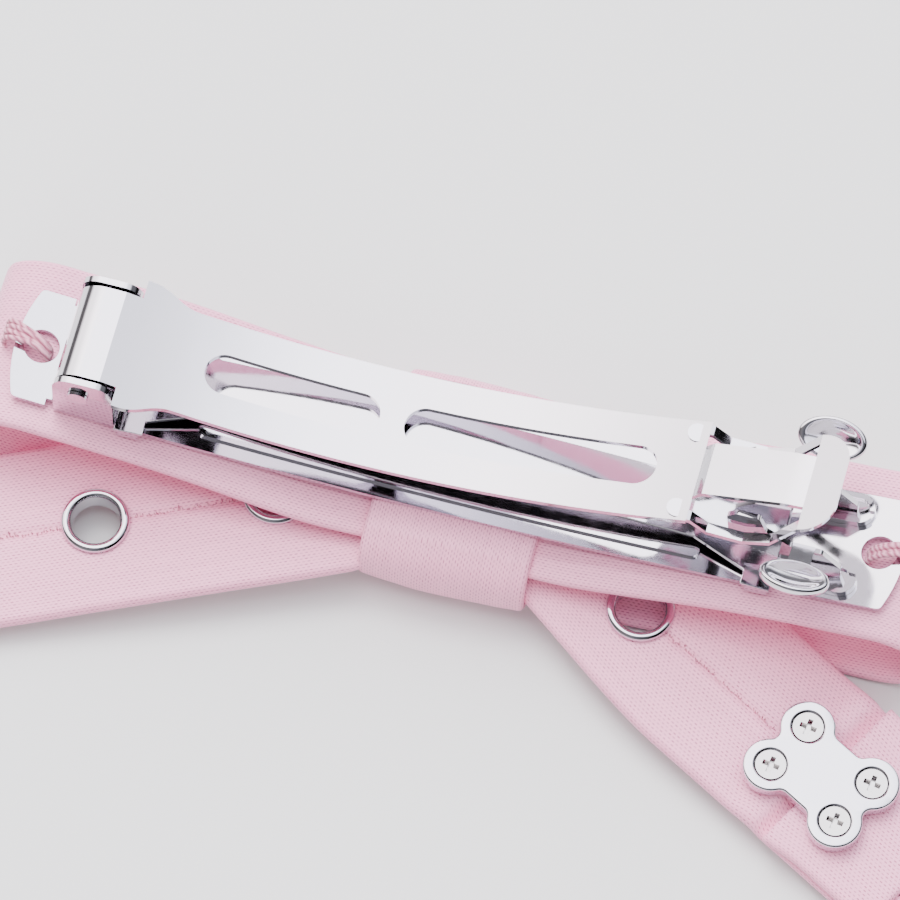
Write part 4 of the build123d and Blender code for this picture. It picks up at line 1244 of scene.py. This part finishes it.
@dataclass
class Metalwork:
    """The nickel pieces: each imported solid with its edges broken, and its finish."""

    edge_mm: float = 0.07
    small_edge_mm: float = 0.04
    corner_degrees: float = 32.0
    sharp_degrees: float = 14.0
    arc_degrees: float = 5.0
    merge_m: float = 1e-6
    face_weight: int = 50
    arcs: dict = field(default_factory=lambda: {
        "clamp_arm": (Arc(-8.0, 99.21, x_from=-31.0, x_to=21.4),
                      Arc(-32.9, 14.06, x_to=-31.4)),
        "base_plate": (Arc(0.0, 316.8),),
        "tension_bar": (Arc(-0.15, -311.9),)})
    small: tuple = ("clamp_screws", "hinge_pin", "near_catch_wing", "far_catch_wing",
                    "near_catch_foot", "far_catch_foot")
    bodies: dict = field(default_factory=lambda: {
        "clamp_arm": Body.ARM, "near_catch_wing": Body.NEAR_WING,
        "far_catch_wing": Body.FAR_WING})

    def build(self, nodes: Iterable[str], material: bpy.types.Material, slot: Slot) -> None:
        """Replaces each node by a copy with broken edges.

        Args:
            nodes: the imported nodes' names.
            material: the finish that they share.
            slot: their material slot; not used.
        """
        for name in nodes:
            mesh = self.broken_edges(name)
            body = self.bodies.get(name, Body.ROOT)
            piece = new_piece(name + "_polished", mesh, material, body)
            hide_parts(name)

    def broken_edges(self, name: str) -> bpy.types.Mesh:
        """Copies a node's mesh with broken edges and shades its arcs true.

        Args:
            name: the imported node's name.

        Returns:
            The finished mesh.
        """
        mesh = bmesh.new()
        mesh.from_mesh(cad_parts[name].data)
        bmesh.ops.remove_doubles(mesh, verts=mesh.verts, dist=self.merge_m)
        bmesh.ops.recalc_face_normals(mesh, faces=mesh.faces)
        sharp = math.radians(self.sharp_degrees)
        for face in mesh.faces:
            face.smooth = True
        for edge in mesh.edges:
            if len(edge.link_faces) == 2 and edge.calc_face_angle() > sharp:
                edge.smooth = False
        data = bpy.data.meshes.new(name + "_merged")
        mesh.to_mesh(data)
        mesh.free()
        holder = bpy.data.objects.new(name + "_merged", data)
        bpy.context.scene.collection.objects.link(holder)
        bevel = holder.modifiers.new("edge", "BEVEL")
        bevel.width = (self.small_edge_mm if name in self.small else self.edge_mm) * MM
        bevel.segments = 2
        bevel.limit_method = "ANGLE"
        bevel.angle_limit = math.radians(self.corner_degrees)
        bevel.use_clamp_overlap = True
        weigh = holder.modifiers.new("weigh", "WEIGHTED_NORMAL")
        weigh.mode = "FACE_AREA"
        weigh.weight = self.face_weight
        weigh.keep_sharp = True
        out = plain_mesh(holder, name + "_polished")
        bpy.data.objects.remove(holder)
        if name in self.arcs:
            self.shade_arcs(out, self.arcs[name])
        return out

    def shade_arcs(self, mesh: bpy.types.Mesh, arcs: Iterable[Arc]) -> None:
        """Gives the faces that lie on an arc its exact normals.

        Args:
            mesh: the mesh to shade.
            arcs: the arcs that its sheet follows.
        """
        normals = [Vector(c.vector) for c in mesh.corner_normals]
        close = math.cos(math.radians(self.arc_degrees))
        for face in mesh.polygons:
            for arc in arcs:
                middle = arc.direction(face.center)
                if arc.x_from <= face.center.x / MM <= arc.x_to \
                        and abs(middle.dot(face.normal)) > close:
                    side = 1 if middle.dot(face.normal) > 0 else -1
                    for loop in face.loop_indices:
                        spot = mesh.vertices[mesh.loops[loop].vertex_index].co
                        normals[loop] = side * arc.direction(spot)
                    break
        mesh.normals_split_custom_set(normals)


# ---------------------------------------------------------------- stage


@dataclass
class Studio:
    """A pale floor with a painted pool of light, soft lights and the camera."""

    azimuth: float = 14.34
    elevation: float = 65.81
    roll: float = 0.72
    distance: float = 1.0
    lens: float = 459.0
    aim: tuple = (-0.00095, 0.00057, 0.00865)
    floor_colour: str = "DADADA"
    # painted light falloff: the floor turns to this dark colour between floor_bright_m and
    # floor_dark_m out from the middle
    floor_painted_dark_colour: str = "4A4A4C"
    floor_bright_m: float = 0.12
    floor_dark_m: float = 0.55
    floor_half_m: float = 3.0
    floor_drop_m: float = 0.0001
    floor_roughness: float = 0.9
    horizon_glow: float = 0.05
    overhead_glow: float = 6.4
    catch_side_glow: float = 3.0
    # each ramp: where it starts and ends along its axis, then the value at each
    near_edge: tuple = (-0.5, 0.1, 0.9, 0.0)
    tent_span: tuple = (0.22, 0.46)
    hinge_ramp: tuple = (-0.75, -0.3, 0.62, 1.0)
    catch_span: tuple = (-0.05, 0.35)
    dark_ramp: tuple = (0.42, 0.62, 1.0, 0.08)
    tint_ramp: tuple = (-0.5, 0.2, 0.0, 1.0)
    hinge_tint: str = "FFFAFC"
    catch_tint: str = "EEF1FB"
    # each lamp: name, place and side in metres, watts, colour
    lamps: tuple = (
        ("overhead", (-0.35, 0.45, 1.0), 0.6, 13.0, "FFFFFF"),
        ("right_fill", (0.9, -0.3, 0.8), 0.7, 5.0, "FFFDFA"),
        ("near_fill", (0.0, -0.9, 0.7), 0.7, 6.0, "FFFDFA"),
    )
    sensor_mm: float = 36.0
    clip_m: tuple = (0.05, 10.0)

    def build(self) -> None:
        """Builds the floor, the lights, the world and the camera."""
        self.floor()
        self.world()
        self.lights()
        self.camera()

    def floor(self) -> None:
        """Builds the floor just under the bow, with a painted pool of light: bright in the
        middle, painted dark farther out.
        """
        mesh = bmesh.new()
        bmesh.ops.create_grid(mesh, x_segments=1, y_segments=1, size=self.floor_half_m)
        bmesh.ops.translate(mesh, verts=mesh.verts, vec=(0, 0, -self.floor_drop_m))
        data = bpy.data.meshes.new("floor")
        mesh.to_mesh(data)
        mesh.free()
        plane = bpy.data.objects.new("floor", data)
        bpy.context.scene.collection.objects.link(plane)
        paper = bpy.data.materials.new("matt_paper_sweep")
        paper.use_nodes = True
        shader = paper.node_tree.nodes["Principled BSDF"]
        place = add_node(paper.node_tree, "ShaderNodeTexCoord")
        reach = add_node(
            paper.node_tree, "ShaderNodeVectorMath", {0: place.outputs["Object"]},
            operation="LENGTH",
        )
        # painted light falloff: the floor's own colour fades to a painted dark with distance from
        # the bow
        fade = add_node(
            paper.node_tree, "ShaderNodeMapRange",
            {0: reach.outputs["Value"], 1: self.floor_bright_m, 2: self.floor_dark_m},
            interpolation_type="SMOOTHSTEP",
        )
        colour = add_node(
            paper.node_tree, "ShaderNodeMix",
            {0: fade.outputs[0], 6: linear(self.floor_colour),
             7: linear(self.floor_painted_dark_colour)},
            data_type="RGBA",
        )
        paper.node_tree.links.new(colour.outputs[2], shader.inputs["Base Color"])
        shader.inputs["Roughness"].default_value = self.floor_roughness
        data.materials.append(paper)

    def world(self) -> None:
        """Builds a soft surround: brightest overhead, dark low down, near and past the catch."""
        world = bpy.data.worlds.new("studio")
        bpy.context.scene.world = world
        world.use_nodes = True
        tree = world.node_tree
        tree.nodes.clear()
        place = add_node(tree, "ShaderNodeTexCoord")
        parts = add_node(tree, "ShaderNodeSeparateXYZ", {0: place.outputs["Generated"]})

        def ramp(value: object, low: float, high: float, start: float, end: float
                 ) -> bpy.types.NodeSocket:
            """Adds a smooth ramp.

            Args:
                value: the socket that is read.
                low: where the ramp starts.
                high: where it ends.
                start: the result at low.
                end: the result at high.

            Returns:
                The ramp's result.
            """
            node = add_node(
                tree, "ShaderNodeMapRange", {0: value, 1: low, 2: high, 3: start, 4: end},
                interpolation_type="SMOOTHSTEP",
            )
            return node.outputs[0]

        def product(a: object, b: object) -> bpy.types.NodeSocket:
            """Adds a product and returns it."""
            node = add_node(tree, "ShaderNodeMath", {0: a, 1: b}, operation="MULTIPLY")
            return node.outputs[0]

        x, y, z = (parts.outputs[k] for k in range(3))
        edge = ramp(y, *self.near_edge)
        above = add_node(
            tree, "ShaderNodeMath", {0: z, 1: edge}, operation="SUBTRACT").outputs[0]
        tent = ramp(above, *self.tent_span, self.horizon_glow, 1.0)
        side = product(ramp(x, *self.hinge_ramp),
                       ramp(x, *self.catch_span, self.overhead_glow, self.catch_side_glow))
        side = product(side, ramp(x, *self.dark_ramp))
        tint = add_node(
            tree, "ShaderNodeMix",
            {0: ramp(x, *self.tint_ramp), 6: linear(self.hinge_tint),
             7: linear(self.catch_tint)},
            data_type="RGBA",
        )
        glow = add_node(
            tree, "ShaderNodeBackground",
            {"Color": tint.outputs[2], "Strength": product(tent, side)},
        )
        add_node(tree, "ShaderNodeOutputWorld", {"Surface": glow.outputs[0]})

    def lights(self) -> None:
        """Builds the overhead soft box and two low fills, which metal does not mirror."""
        for name, place, size, power, colour in self.lamps:
            data = bpy.data.lights.new(name, "AREA")
            data.shape = "SQUARE"
            data.size = size
            data.energy = power
            data.color = linear(colour)[:3]
            lamp = bpy.data.objects.new(name, data)
            lamp.location = place
            lamp.visible_glossy = False
            lamp.rotation_euler = (-Vector(place)).to_track_quat("-Z", "Y").to_euler()
            bpy.context.scene.collection.objects.link(lamp)

    def camera(self) -> None:
        """Builds the camera, high on the near side, with a long lens."""
        turn, rise = math.radians(self.azimuth), math.radians(self.elevation)
        back = Vector((math.sin(turn) * math.cos(rise), -math.cos(turn) * math.cos(rise),
                       math.sin(rise)))
        data = bpy.data.cameras.new("camera")
        data.lens = self.lens
        data.sensor_width = self.sensor_mm
        data.clip_start, data.clip_end = self.clip_m
        camera = bpy.data.objects.new("camera", data)
        camera.location = Vector(self.aim) + back * self.distance
        look = (-back).to_track_quat("-Z", "Y").to_matrix()
        camera.rotation_euler = (
            look @ Matrix.Rotation(math.radians(self.roll), 3, "Z")).to_euler()
        bpy.context.scene.collection.objects.link(camera)
        bpy.context.scene.camera = camera


NICKEL_NODES = (
    "base_plate", "tension_bar", "hinge_pin", "clamp_arm", "near_catch_foot",
    "far_catch_foot", "near_catch_wing", "far_catch_wing", "eyelet_left_inner",
    "eyelet_left_middle", "eyelet_left_outer", "eyelet_right", "clamp_plate_back",
    "clamp_plate_front",
)


def main() -> None:
    """Builds the bow, the metalwork and the studio, in order."""
    logging.basicConfig(level=logging.INFO, format="%(name)s %(message)s")
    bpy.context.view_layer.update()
    satin = Satin().build()
    thread = Thread().build()
    nickel = Nickel().build()
    screw_steel = Nickel(name="steel_screw_machined", colour="C9C4C2", roughness=0.16).build()
    Bow().build(satin, thread)
    FingerPads().build(nickel)
    metal = Metalwork()
    metal.build(NICKEL_NODES, nickel, Slot.NICKEL)
    metal.build(("clamp_screws",), screw_steel, Slot.SCREW)
    Studio().build()
    bpy.context.view_layer.update()


if __name__ == "__main__":
    main()
